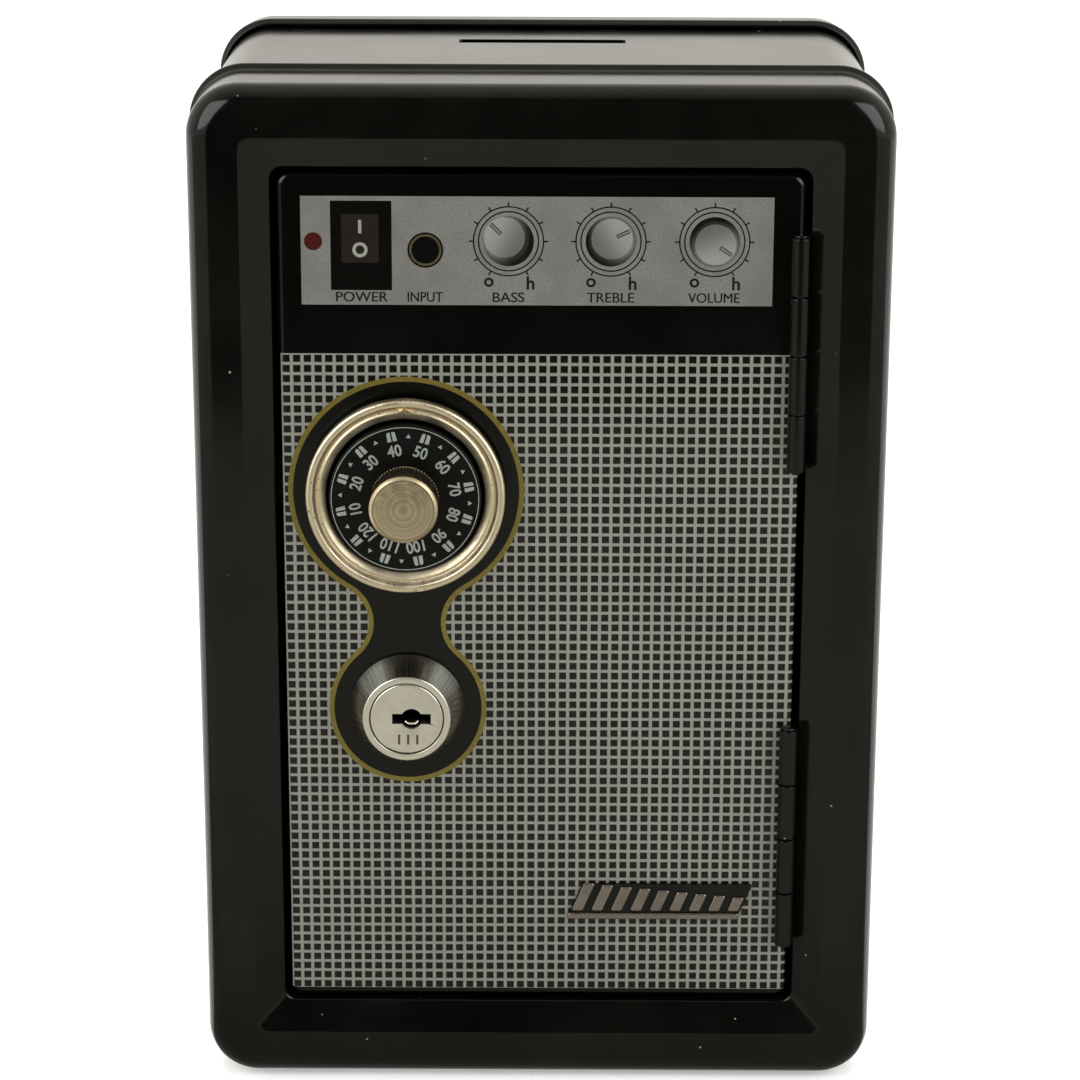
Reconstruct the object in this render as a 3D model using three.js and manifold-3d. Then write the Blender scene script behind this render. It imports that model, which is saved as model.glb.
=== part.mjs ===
// A toy safe coin bank: a sheet-metal box with a hinged front door, a numbered dial with its wheel pack and a
// key lock. Millimetres, +Z up. In the bank's own group X runs right, Y runs back from the front face, and Z
// runs up from the underside of the shells.
import * as THREE from "three";
import { mergeVertices } from "three/addons/utils/BufferGeometryUtils.js";
import Module from "manifold-3d";

const wasm = await Module();
wasm.setup();

// ---- body ----
const BODY_WIDTH = 120;
const BODY_HEIGHT = 181;
const BODY_DEPTH = 88;
const SHEET = 0.7;
const FRAME_DEPTH = 20.5;
const COVER_DEPTH = 13.5;
const CORNER_RADIUS = 9;
const FRONT_ROUND = 6.5;
const REAR_ROUND = 6;
const RIM_RISE = 1;
const RIM_WIDTH = 1.6;
const RIM_RAMP = 1;
const RIM_EDGE = 0.3;
const SEAM_GAP = 0.4;
const SEAM_LAP = 6;

// ---- front opening ----
const CREASE_INSET = 8.9;
const OPENING_INSET = 14.1;
const OPENING_RADIUS = 2.2;
const RECESS = 2.8;

// ---- coin slot in the sleeve's top ----
const COIN_SLOT_LENGTH = 30.5;
const COIN_SLOT_WIDTH = 4.4;
const COIN_SLOT_FROM_COVER = 16.7;

// ---- door ----
const DOOR_GAP = 1;
const DOOR_DEPTH = 7;
const DOOR_EDGE_ROUND = 1.2;
const JAMB_PAST_DOOR = 0.5;

// ---- hinges, whose middles are measured from the opening's top and bottom ----
const HINGE_LENGTH = 41;
const HINGE_FROM_TOP = 31.9;
const HINGE_FROM_BOTTOM = 32.6;
const KNUCKLES = 4;
const KNUCKLE_GAP = 0.3;
const KNUCKLE_WALL = 0.65;
const PIN_RADIUS = 0.8;
const PIN_HEAD_LIP = 0.5;
const PIN_HEAD = 0.5;
const LEAF = 0.5;
const LEAF_SHORT_OF_DOOR = 0.4;

// ---- dial and wheel pack ----
const DIAL_FROM_JAMB = 22.65;
const DIAL_FROM_TOP = 56.8;
const DIAL_RADIUS = 13.1;
const DIAL_THICKNESS = 2.7;
const DIAL_EDGE = 0.3;
const BEZEL_WIDTH = 3.55;
const BEZEL_HEIGHT = 4.1;
const BEZEL_BASE = 0.6;
const BEZEL_BEAD = 0.8;
const BEZEL_GROOVE = 0.8;
const BEZEL_GROOVE_IN = 1.9;
const BEZEL_LAND = 0.6;
const BEZEL_LAND_IN = 2.3;
const BEZEL_LIP = 1.3;
const KNOB_RADIUS = 5.9;
const KNOB_HEIGHT = 7.2;
const KNOB_EDGE = 0.5;
const KNOB_WEB = 2;
const KNURLS = 48;
const KNURL_DEPTH = 0.25;
const SPINDLE_RADIUS = 2.3;
const POST_WALL = 1.3;
const POST_LIP = 2.7;
const POST_FLANGE = 0.8;
const COLLAR_WALL = 1.6;
const SPRING_ROOM = 0.6;
const SPRING_SHEET = 0.4;
const SPRING_MARGIN = 1;
const WHEEL_THICKNESS = 1;
const WHEEL_GAP = 1.2;
const PEG_RADIUS = 0.8;
const PEG_CIRCLE = 11;
const CLIP = 0.6;
const CLIP_WALL = 1.7;

// ---- keeper that the wheels' rims hook behind ----
const KEEPER_SHEET = 1;
const KEEPER_PLATE_HEIGHT = 12;
const KEEPER_TAB_HEIGHT = 8;
const KEEPER_OVERLAP = 2.35;

// ---- lock ----
const DIAL_TO_LOCK = 39.8;
const PLUG_RADIUS = 6.4;
const PLUG_SHOULDER = 1;
const PLUG_STEP = -1;
const LOCK_FACE_WALL = 1.05;
const LOCK_FLARE = 2.55;
const LOCK_HEIGHT = 6;
const LOCK_EDGE = 0.5;
const BARREL_WALL = 2.4;
const KEYWAY_WIDTH = 6.8;
const KEYWAY_HEIGHT = 1.85;
const KEYWAY_ROUND = 1.87;
const KEYWAY_OFFSET = 0.85;
const KEYWAY_DEPTH = 9;
const CAM_HOOK = 1.85;
const CAM_WIDTH = 9;
const CAM_THICKNESS = 1.2;
const CAM_TIP = 2;
const SCREW_RADIUS = 1.5;
const SCREW_HEAD_RADIUS = 3;
const SCREW_HEAD = 1.6;
const SCREW_EDGE = 0.5;
const SCREW_LENGTH = 4;
const SCREW_SLOT = 0.8;

// ---- nuts ----
const NUT_THICKNESS = 3;
const POST_NUT_WALL = 2;
const LOCK_NUT_WALL = 2.3;

// ---- badge, whose middle is measured from the opening's right and bottom ----
const BADGE_FROM_RIGHT = 24.1;
const BADGE_FROM_BOTTOM = 19.8;
const BADGE_WIDTH = 31;
const BADGE_HEIGHT = 7;
const BADGE_SLANT = 3;
const BADGE_THICKNESS = 0.9;

// ---- clearances ----
const SEAT = 0.1;
const RUNNING = 0.2;
const HINGE_SEAT = 0.15;
const KNUCKLE_CLEARANCE = 0.3;
const DIAL_CLEARANCE = 0.6;
const WHEEL_CLEARANCE = 1.05;
const GATE_CLEARANCE = 1.85;
const GATE_SIDE_CLEARANCE = 1;
const PEG_CLEARANCE = 0.3;
const BEHIND_JAMB = 0.3;
const BEHIND_KEEPER = 0.4;
const CAM_CLEARANCE = 0.5;
const SCREW_HOLE_CLEARANCE = 1;

// ---- fineness ----
const ROUND = 32;
const FINE_ROUND = 48;
const SMALL_ROUND = 20;
const CORNER_STEPS = 5;
const SHELL_STEPS = 6;
const DOOR_STEPS = 4;
const MERGE_DISTANCE = 1e-4;
const THROUGH = 2; // how far a cutting tool runs past the piece it cuts

// ---- places on the front: X from the middle, Z up, and Y back from the door's front plane ----
const JAMB_X = BODY_WIDTH / 2 - OPENING_INSET;
const OPENING_TOP = BODY_HEIGHT - OPENING_INSET;
const DOOR_WIDTH = 2 * (JAMB_X - DOOR_GAP);
const DOOR_HEIGHT = OPENING_TOP - OPENING_INSET - 2 * DOOR_GAP;
const DIAL_X = DIAL_FROM_JAMB - JAMB_X;
const DIAL_Z = OPENING_TOP - DIAL_FROM_TOP;
const LOCK_Z = DIAL_Z - DIAL_TO_LOCK;
const BADGE_X = JAMB_X - BADGE_FROM_RIGHT;
const BADGE_Z = OPENING_INSET + BADGE_FROM_BOTTOM;
const JAMB_REAR = DOOR_DEPTH + JAMB_PAST_DOOR;

// ---- hinge sizes ----
const KNUCKLE_RADIUS = PIN_RADIUS + RUNNING + KNUCKLE_WALL;
const HINGE_X = JAMB_X - HINGE_SEAT - KNUCKLE_RADIUS;
const HINGE_RISE = KNUCKLE_RADIUS + KNUCKLE_CLEARANCE; // pin axis in front of the door's front plane
const LEAF_REAR = HINGE_RISE + DOOR_DEPTH - LEAF_SHORT_OF_DOOR; // from the pin axis
const DOOR_LEAF_X = DOOR_WIDTH / 2 - SHEET - SEAT - LEAF - HINGE_X; // its left face from the pin axis

// ---- dial and wheel pack sizes, from the door's front plane; the viewer is towards -Y ----
const BEZEL_INNER_RADIUS = DIAL_RADIUS + DIAL_CLEARANCE;
const BEZEL_RADIUS = BEZEL_INNER_RADIUS + BEZEL_WIDTH;
const POST_RADIUS = SPINDLE_RADIUS + RUNNING + POST_WALL;
const POST_BORE = SPINDLE_RADIUS + RUNNING;
const FLANGE_RADIUS = POST_RADIUS + POST_LIP;
const FLANGE_FRONT = -2 * SEAT - BEZEL_BASE - POST_FLANGE;
const DIAL_REAR = FLANGE_FRONT - SPRING_ROOM;
const DIAL_FRONT = DIAL_REAR - DIAL_THICKNESS;
const KNOB_REAR = DIAL_FRONT - SEAT;
const KNOB_FRONT = DIAL_FRONT - KNOB_HEIGHT;
const NUT_REAR = SHEET + SEAT + NUT_THICKNESS;
const KEEPER_TAB_Y = JAMB_REAR + BEHIND_JAMB;
const WHEELS_Y = KEEPER_TAB_Y + KEEPER_SHEET + BEHIND_KEEPER;
const WHEEL_PITCH = WHEEL_THICKNESS + WHEEL_GAP;
const WHEEL_RADIUS = DIAL_FROM_JAMB - WHEEL_CLEARANCE;
const DRIVE_WHEEL = 2; // its place behind the two tumbler wheels
const DRIVE_Y = WHEELS_Y + DRIVE_WHEEL * WHEEL_PITCH;
const POST_REAR = DRIVE_Y - RUNNING;
const CLIP_Y = DRIVE_Y + WHEEL_THICKNESS + SEAT;
const CLIP_RADIUS = SPINDLE_RADIUS + CLIP_WALL;
const WASHER_BORE = POST_RADIUS + RUNNING;

// ---- lock sizes ----
const PLUG_BORE = PLUG_RADIUS + RUNNING;
const LOCK_FACE_RADIUS = PLUG_BORE + LOCK_FACE_WALL;
const LOCK_BASE_RADIUS = LOCK_FACE_RADIUS + LOCK_FLARE;
const PLUG_TAIL_RADIUS = PLUG_RADIUS - PLUG_SHOULDER;
const BARREL_BORE = PLUG_TAIL_RADIUS + RUNNING;
const BARREL_RADIUS = BARREL_BORE + BARREL_WALL;
const BARREL_REAR = JAMB_REAR + BEHIND_JAMB;
const CAM_Y = BARREL_REAR + CAM_CLEARANCE;
const CAM_LENGTH = DIAL_FROM_JAMB + CAM_HOOK;

// ---- solids ----

// A closed geometry with only shared positions, its faces pointing out.
function closed(geometry) {
  const bare = geometry.index ? geometry.toNonIndexed() : geometry.clone();
  bare.deleteAttribute("normal");
  bare.deleteAttribute("uv");
  const merged = mergeVertices(bare, MERGE_DISTANCE);
  const at = (i) => new THREE.Vector3().fromBufferAttribute(merged.attributes.position, i);
  const index = [];
  let volume = 0;
  for (let i = 0; i < merged.index.count; i += 3) {
    const [a, b, c] = merged.index.array.slice(i, i + 3);
    if (a === b || b === c || c === a) continue;
    index.push(a, b, c);
    volume += at(a).dot(at(b).cross(at(c)));
  }
  return merged.setIndex(volume < 0 ? index.reverse() : index);
}

function solid(geometry) {
  const shape = closed(geometry);
  const vertProperties = shape.attributes.position.array;
  const triVerts = new Uint32Array(shape.index.array);
  return new wasm.Manifold(new wasm.Mesh({ numProp: 3, vertProperties, triVerts }));
}

function fromSolid(manifold) {
  const mesh = manifold.getMesh();
  const positions = new THREE.BufferAttribute(new Float32Array(mesh.vertProperties), mesh.numProp);
  const geometry = new THREE.BufferGeometry().setAttribute("position", positions);
  return geometry.setIndex(new THREE.BufferAttribute(mesh.triVerts, 1));
}

const join = (first, ...others) => fromSolid(others.reduce((sum, o) => sum.add(solid(o)), solid(first)));
const cut = (piece, ...tools) => fromSolid(tools.reduce((rest, t) => rest.subtract(solid(t)), solid(piece)));

// ---- shapes ----

// The outline of a rounded rectangle in X and Z, counter-clockwise, with equal point counts for any size.
function outline(halfWidth, halfHeight, radius) {
  const points = [];
  for (const [turn, x, z] of [[0, 1, 1], [1, -1, 1], [2, -1, -1], [3, 1, -1]]) {
    for (let step = 0; step <= CORNER_STEPS; step++) {
      const angle = (turn + step / CORNER_STEPS) * (Math.PI / 2);
      const centre = new THREE.Vector2(x * (halfWidth - radius), z * (halfHeight - radius));
      points.push(centre.add(new THREE.Vector2(Math.cos(angle), Math.sin(angle)).multiplyScalar(radius)));
    }
  }
  return points;
}

// A skin through layers of equal point counts. It closes back on the first layer, or ends in two flat caps.
function skin(layers, loops) {
  const count = layers[0].points.length;
  const positions = layers.flatMap(({ points, y }) => points.flatMap((p) => [p.x, y, p.y]));
  const index = [];
  const last = loops ? layers.length : layers.length - 1;
  for (let layer = 0; layer < last; layer++) {
    const next = (layer + 1) % layers.length;
    for (let i = 0; i < count; i++) {
      const j = (i + 1) % count;
      const [a, b] = [layer * count + i, layer * count + j];
      const [c, d] = [next * count + i, next * count + j];
      index.push(a, c, b, b, c, d);
    }
  }
  if (!loops) {
    for (const [layer, reversed] of [[0, false], [layers.length - 1, true]]) {
      for (const face of THREE.ShapeUtils.triangulateShape(layers[layer].points, [])) {
        const corners = face.map((i) => layer * count + i);
        index.push(...(reversed ? corners.reverse() : corners));
      }
    }
  }
  const geometry = new THREE.BufferGeometry();
  geometry.setAttribute("position", new THREE.Float32BufferAttribute(positions, 3));
  return closed(geometry.setIndex(index));
}

// One layer of a pressed shell: inset is how far inside a width by height rectangle it lies.
function shellLayer(width, height, corner, inset, y) {
  return { points: outline(width / 2 - inset, height / 2 - inset, corner), y };
}

// An arc as pairs: across and y of its centre, its radius, and the angles where it starts and ends.
function arc(across, y, radius, from, to, steps) {
  return Array.from({ length: steps + 1 }, (_, i) => {
    const angle = from + ((to - from) * i) / steps;
    return [across + radius * Math.cos(angle), y + radius * Math.sin(angle)];
  });
}

// A turned piece about the Y axis from [radius, y] pairs, which close on themselves.
function turned(profile, segments = ROUND) {
  const points = [...profile, profile[0]].map(([r, y]) => new THREE.Vector2(r, y));
  return closed(new THREE.LatheGeometry(points, segments));
}

// A turned ring with a plain rectangular section.
const ring = (inner, outer, front, rear, segments) =>
  turned([[inner, front], [outer, front], [outer, rear], [inner, rear]], segments);

// A round bar along Y.
const bar = (radius, front, rear, segments = ROUND) =>
  new THREE.CylinderGeometry(radius, radius, rear - front, segments).translate(0, (front + rear) / 2, 0);

// A box between two corners.
function block(low, high) {
  const size = high.map((v, i) => v - low[i]);
  const middle = high.map((v, i) => (v + low[i]) / 2);
  return new THREE.BoxGeometry(...size).translate(...middle);
}

// A flat plate with an X and Z outline, from y front to y rear.
function plate(shape, front, rear) {
  const depth = rear - front;
  const geometry = new THREE.ExtrudeGeometry(shape, { depth, bevelEnabled: false });
  return geometry.rotateX(Math.PI / 2).translate(0, rear, 0);
}

// A hexagonal nut on the door sheet's back, with a wall round its bore.
function hexNut(radius, wall) {
  const front = SHEET + SEAT;
  const bore = radius + RUNNING;
  const corner = (2 * (bore + wall)) / Math.sqrt(3);
  return cut(bar(corner, front, NUT_REAR, 6), bar(bore, front - THROUGH, NUT_REAR + THROUGH));
}

// ---- body shells ----

const FRAME_SLOPE = Math.atan2(RECESS, OPENING_INSET - CREASE_INSET);
const cornerAt = (inset) => Math.max(CORNER_RADIUS - inset, OPENING_RADIUS);
const bodyLayer = ([inset, y]) => shellLayer(BODY_WIDTH, BODY_HEIGHT, cornerAt(inset), inset, y);

// The outward rim along the edge where a shell meets the sleeve; toward is the direction of the shell itself.
function rim(edge, toward) {
  return [
    [SHEET, edge],
    [RIM_EDGE - RIM_RISE, edge],
    [-RIM_RISE, edge + toward * RIM_EDGE],
    [-RIM_RISE, edge + toward * RIM_WIDTH],
    [0, edge + toward * (RIM_WIDTH + RIM_RAMP)],
  ];
}

function frontFrame() {
  const innerCrease = CREASE_INSET - SHEET * Math.tan(FRAME_SLOPE / 2);
  const innerLip = RECESS + SHEET * Math.tan((Math.PI / 2 - FRAME_SLOPE) / 2);
  const rear = RECESS + JAMB_REAR;
  const profile = [
    ...rim(FRAME_DEPTH, -1),
    ...arc(FRONT_ROUND, FRONT_ROUND, FRONT_ROUND, Math.PI, 1.5 * Math.PI, SHELL_STEPS),
    [CREASE_INSET, 0],
    [OPENING_INSET, RECESS],
    [OPENING_INSET, rear],
    [OPENING_INSET - SHEET, rear],
    [OPENING_INSET - SHEET, innerLip],
    [innerCrease, SHEET],
    ...arc(FRONT_ROUND, FRONT_ROUND, FRONT_ROUND - SHEET, 1.5 * Math.PI, Math.PI, SHELL_STEPS),
  ];
  return skin(profile.map(bodyLayer), true);
}

function bodySleeve() {
  const outer = SHEET + SEAM_GAP;
  const coverFront = BODY_DEPTH - COVER_DEPTH;
  const front = FRAME_DEPTH - SEAM_LAP;
  const rear = coverFront + SEAM_LAP;
  const profile = [[outer, front], [outer, rear], [outer + SHEET, rear], [outer + SHEET, front]];
  const top = BODY_HEIGHT / 2;
  const halfLength = COIN_SLOT_LENGTH / 2;
  const middle = coverFront - COIN_SLOT_FROM_COVER;
  const slot = block(
    [-halfLength, middle - COIN_SLOT_WIDTH / 2, top - CORNER_RADIUS],
    [halfLength, middle + COIN_SLOT_WIDTH / 2, top + THROUGH],
  );
  return cut(skin(profile.map(bodyLayer), true), slot);
}

function backCover() {
  const roundY = BODY_DEPTH - REAR_ROUND;
  const profile = [
    ...arc(REAR_ROUND, roundY, REAR_ROUND - SHEET, Math.PI / 2, Math.PI, SHELL_STEPS),
    ...rim(BODY_DEPTH - COVER_DEPTH, 1),
    ...arc(REAR_ROUND, roundY, REAR_ROUND, Math.PI, Math.PI / 2, SHELL_STEPS),
  ];
  return skin(profile.map(bodyLayer), false);
}

// ---- hinges, about the pin axis with the door's front sheet behind it ----

// The knuckle stretches of a hinge as [low, high] along Z from its middle, the top one first.
function knuckleSpans() {
  const length = (HINGE_LENGTH - (KNUCKLES - 1) * KNUCKLE_GAP) / KNUCKLES;
  return Array.from({ length: KNUCKLES }, (_, i) => {
    const high = HINGE_LENGTH / 2 - i * (length + KNUCKLE_GAP);
    return [high - length, high];
  });
}

const frameSpans = knuckleSpans().filter((_, i) => i % 2 === 0);
const doorSpans = knuckleSpans().filter((_, i) => i % 2 === 1);
const hingeHeights = [
  ["upper", OPENING_TOP - HINGE_FROM_TOP],
  ["lower", OPENING_INSET + HINGE_FROM_BOTTOM],
];

const knuckle = ([low, high]) =>
  ring(PIN_RADIUS + RUNNING, KNUCKLE_RADIUS, low, high, SMALL_ROUND).rotateX(Math.PI / 2);

function frameLeaf() {
  const left = KNUCKLE_RADIUS - LEAF;
  const half = HINGE_LENGTH / 2;
  const web = ([low, high]) => block([left, 0, low], [KNUCKLE_RADIUS, LEAF_REAR, high]);
  const back = block([left, HINGE_RISE, -half], [KNUCKLE_RADIUS, LEAF_REAR, half]);
  const bore = bar(PIN_RADIUS + RUNNING, -HINGE_LENGTH, HINGE_LENGTH, SMALL_ROUND).rotateX(Math.PI / 2);
  return cut(join(back, ...frameSpans.map(web), ...frameSpans.map(knuckle)), bore);
}

function doorLeaf() {
  const right = DOOR_LEAF_X + LEAF;
  const half = HINGE_LENGTH / 2;
  const root = (PIN_RADIUS + RUNNING + KNUCKLE_RADIUS) / 2;
  const behindSheet = HINGE_RISE + DOOR_EDGE_ROUND + SEAT;
  const web = ([low, high]) => block([DOOR_LEAF_X, root, low], [right, LEAF_REAR, high]);
  const back = block([DOOR_LEAF_X, behindSheet, -half], [right, LEAF_REAR, half]);
  return join(back, ...doorSpans.map(web), ...doorSpans.map(knuckle));
}

function hingePin() {
  const half = HINGE_LENGTH / 2;
  const headRadius = PIN_RADIUS + PIN_HEAD_LIP;
  const profile = [
    [0, -half - PIN_HEAD],
    [PIN_RADIUS, -half - PIN_HEAD],
    [PIN_RADIUS, half + SEAT],
    [headRadius, half + SEAT],
    [headRadius, half + PIN_HEAD / 2],
    [PIN_RADIUS, half + PIN_HEAD],
    [0, half + PIN_HEAD],
  ];
  return turned(profile, SMALL_ROUND).rotateX(Math.PI / 2);
}

// ---- door ----

// Tools that open the door's front sheet where a door leaf's knuckles pass through it.
function leafSlots([, hingeZ]) {
  const middle = hingeZ - BODY_HEIGHT / 2;
  const left = HINGE_X + DOOR_LEAF_X;
  return doorSpans.map(([low, high]) =>
    block(
      [left - RUNNING, -THROUGH, middle + low - RUNNING],
      [left + LEAF + SEAT, DOOR_EDGE_ROUND, middle + high + RUNNING],
    ),
  );
}

function doorPanel() {
  const round = DOOR_EDGE_ROUND;
  const profile = [
    ...arc(round, round, round - SHEET, 1.5 * Math.PI, Math.PI, DOOR_STEPS),
    [SHEET, DOOR_DEPTH],
    [0, DOOR_DEPTH],
    ...arc(round, round, round, Math.PI, 1.5 * Math.PI, DOOR_STEPS),
  ];
  const corner = (inset) => OPENING_RADIUS - inset;
  const layer = ([inset, y]) => shellLayer(DOOR_WIDTH, DOOR_HEIGHT, corner(inset), inset, y);
  const hole = (radius, z) =>
    bar(radius + RUNNING, -THROUGH, THROUGH + SHEET).translate(DIAL_X, 0, z - BODY_HEIGHT / 2);
  const holes = [hole(POST_RADIUS, DIAL_Z), hole(BARREL_RADIUS, LOCK_Z)];
  return cut(skin(profile.map(layer), false), ...holes, ...hingeHeights.flatMap(leafSlots));
}

// ---- dial and wheel pack, about the dial's axis from the door's front plane ----

function dialBezel() {
  const seat = -SEAT;
  const crest = -BEZEL_HEIGHT;
  const profile = [
    [WASHER_BORE, seat],
    [BEZEL_RADIUS, seat],
    ...arc(BEZEL_RADIUS - BEZEL_BEAD, crest + BEZEL_BEAD, BEZEL_BEAD, 0, -Math.PI / 2, DOOR_STEPS),
    [BEZEL_RADIUS - BEZEL_GROOVE_IN, crest + BEZEL_GROOVE],
    [BEZEL_RADIUS - BEZEL_LAND_IN, crest + BEZEL_LAND],
    [BEZEL_INNER_RADIUS, crest + BEZEL_LIP],
    [BEZEL_INNER_RADIUS, seat - BEZEL_BASE],
    [WASHER_BORE, seat - BEZEL_BASE],
  ];
  return turned(profile, FINE_ROUND);
}

function wheelPost() {
  const profile = [
    [POST_BORE, FLANGE_FRONT],
    [FLANGE_RADIUS, FLANGE_FRONT],
    [FLANGE_RADIUS, FLANGE_FRONT + POST_FLANGE],
    [POST_RADIUS, FLANGE_FRONT + POST_FLANGE],
    [POST_RADIUS, POST_REAR],
    [POST_BORE, POST_REAR],
  ];
  return turned(profile);
}

// A washer between the post's flange and the dial, at its working height.
function springWasher() {
  const front = (DIAL_REAR + FLANGE_FRONT - SPRING_SHEET) / 2;
  return ring(POST_BORE, FLANGE_RADIUS - SPRING_MARGIN, front, front + SPRING_SHEET);
}

function dialDisc() {
  const profile = [
    [POST_BORE, DIAL_FRONT],
    [DIAL_RADIUS - DIAL_EDGE, DIAL_FRONT],
    [DIAL_RADIUS, DIAL_FRONT + DIAL_EDGE],
    [DIAL_RADIUS, DIAL_REAR],
    [POST_BORE, DIAL_REAR],
  ];
  return turned(profile, FINE_ROUND);
}

function dialKnob() {
  const core = KNOB_RADIUS - KNURL_DEPTH;
  const profile = [
    [0, KNOB_FRONT],
    [core - KNOB_EDGE, KNOB_FRONT],
    [core, KNOB_FRONT + KNOB_EDGE],
    [core, KNOB_REAR],
    [0, KNOB_REAR],
  ];
  const teeth = Array.from({ length: 2 * KNURLS }, (_, i) => {
    const angle = (i * Math.PI) / KNURLS;
    const radius = i % 2 === 0 ? KNOB_RADIUS : core;
    return new THREE.Vector2(radius * Math.cos(angle), radius * Math.sin(angle));
  });
  const grip = plate(new THREE.Shape(teeth), KNOB_FRONT + KNOB_EDGE, KNOB_REAR);
  return cut(join(turned(profile), grip), bar(POST_BORE, KNOB_FRONT + KNOB_WEB, KNOB_REAR + THROUGH));
}

function dialSpindle() {
  return bar(SPINDLE_RADIUS, KNOB_FRONT + KNOB_WEB + SEAT, CLIP_Y + 2 * CLIP);
}

// A spacer on the post behind the nut or behind a wheel.
const spacer = (front, rear) => ring(WASHER_BORE, WASHER_BORE + COLLAR_WALL, front + SEAT, rear - SEAT);

// The washer behind wheel number place, counted from the front.
function wheelWasher(place) {
  const rear = WHEELS_Y + (place + 1) * WHEEL_PITCH;
  return spacer(rear - WHEEL_GAP, rear);
}

// A wheel with one gate on its left. Its pegs stand in the gaps beside it and push the next wheel's pegs.
function wheel(place, bore) {
  const front = WHEELS_Y + place * WHEEL_PITCH;
  const rear = front + WHEEL_THICKNESS;
  const disc = ring(bore, WHEEL_RADIUS, front, rear, FINE_ROUND);
  const halfGate = KEEPER_TAB_HEIGHT / 2 + GATE_SIDE_CLEARANCE;
  const gate = block(
    [-WHEEL_RADIUS - THROUGH, front - THROUGH, -halfGate],
    [KEEPER_OVERLAP + GATE_CLEARANCE - WHEEL_RADIUS, rear + THROUGH, halfGate],
  );
  const reach = WHEEL_GAP - PEG_CLEARANCE;
  const step = (2 * PEG_RADIUS + PEG_CLEARANCE) / PEG_CIRCLE;
  const peg = (from, to, angle) => {
    const [x, z] = [PEG_CIRCLE * Math.cos(angle), PEG_CIRCLE * Math.sin(angle)];
    return bar(PEG_RADIUS, from, to, SMALL_ROUND).translate(x, 0, z);
  };
  const pegs = [];
  if (place > 0) pegs.push(peg(front - reach, rear - SEAT, 0));
  if (place < DRIVE_WHEEL) pegs.push(peg(front + SEAT, rear + reach, step));
  return join(cut(disc, gate), ...pegs);
}

function spindleClip() {
  const opening = block([-SPINDLE_RADIUS, 0, -CLIP_RADIUS - THROUGH], [SPINDLE_RADIUS, CLIP_Y + THROUGH, 0]);
  return cut(ring(SPINDLE_RADIUS + SEAT, CLIP_RADIUS, CLIP_Y, CLIP_Y + CLIP), opening);
}

// ---- lock, about its own axis from the door's front plane ----

function lockHousing() {
  const profile = [
    [PLUG_BORE, -LOCK_HEIGHT],
    [LOCK_FACE_RADIUS - LOCK_EDGE, -LOCK_HEIGHT],
    [LOCK_FACE_RADIUS, LOCK_EDGE / 2 - LOCK_HEIGHT],
    [LOCK_BASE_RADIUS, -SEAT - LOCK_EDGE],
    [LOCK_BASE_RADIUS, -SEAT],
    [BARREL_RADIUS, -SEAT],
    [BARREL_RADIUS, BARREL_REAR],
    [BARREL_BORE, BARREL_REAR],
    [BARREL_BORE, PLUG_STEP + RUNNING],
    [PLUG_BORE, PLUG_STEP + RUNNING],
  ];
  return turned(profile, FINE_ROUND);
}

function lockPlug() {
  const front = SEAT - LOCK_HEIGHT;
  const rear = CAM_Y - SEAT;
  const tail = bar(PLUG_TAIL_RADIUS, PLUG_STEP - THROUGH, rear);
  const bottom = front + KEYWAY_DEPTH;
  const [halfWidth, halfHeight] = [KEYWAY_WIDTH / 2, KEYWAY_HEIGHT / 2];
  const slit = block(
    [KEYWAY_OFFSET - halfWidth, front - THROUGH, -halfHeight],
    [KEYWAY_OFFSET + halfWidth, bottom, halfHeight],
  );
  const screwTip = rear - SCREW_LENGTH - SCREW_HOLE_CLEARANCE;
  const screwHole = bar(SCREW_RADIUS + SEAT, screwTip, rear + THROUGH, SMALL_ROUND);
  return cut(
    join(bar(PLUG_RADIUS, front, PLUG_STEP), tail),
    slit,
    bar(KEYWAY_ROUND, front - THROUGH, bottom, SMALL_ROUND).translate(KEYWAY_OFFSET, 0, 0),
    screwHole,
  );
}

// The arm hangs down from the axis when the lock is open.
function lockCam() {
  const shape = new THREE.Shape();
  const half = CAM_WIDTH / 2;
  shape.absarc(0, 0, half, 0, Math.PI);
  shape.lineTo(-half, CAM_TIP - CAM_LENGTH);
  shape.lineTo(CAM_TIP - half, -CAM_LENGTH);
  shape.lineTo(half - CAM_TIP, -CAM_LENGTH);
  shape.lineTo(half, CAM_TIP - CAM_LENGTH);
  const hole = new THREE.Path().absarc(0, 0, SCREW_RADIUS + SEAT, 0, 2 * Math.PI, true);
  shape.holes.push(hole);
  return plate(shape, CAM_Y, CAM_Y + CAM_THICKNESS);
}

function camScrew() {
  const head = CAM_Y + CAM_THICKNESS + SEAT;
  const front = CAM_Y - SEAT - SCREW_LENGTH;
  const slot = block(
    [-SCREW_HEAD_RADIUS, head + SCREW_HEAD / 2, -SCREW_SLOT / 2],
    [SCREW_HEAD_RADIUS, head + SCREW_HEAD + THROUGH, SCREW_SLOT / 2],
  );
  const profile = [
    [0, front],
    [SCREW_RADIUS, front],
    [SCREW_RADIUS, head],
    [SCREW_HEAD_RADIUS, head],
    [SCREW_HEAD_RADIUS, head + SCREW_HEAD - SCREW_EDGE],
    [SCREW_HEAD_RADIUS - SCREW_EDGE, head + SCREW_HEAD],
    [0, head + SCREW_HEAD],
  ];
  return cut(turned(profile, SMALL_ROUND), slot);
}

// ---- keeper, on the hidden side of the left jamb, from the door's front plane ----

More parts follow.
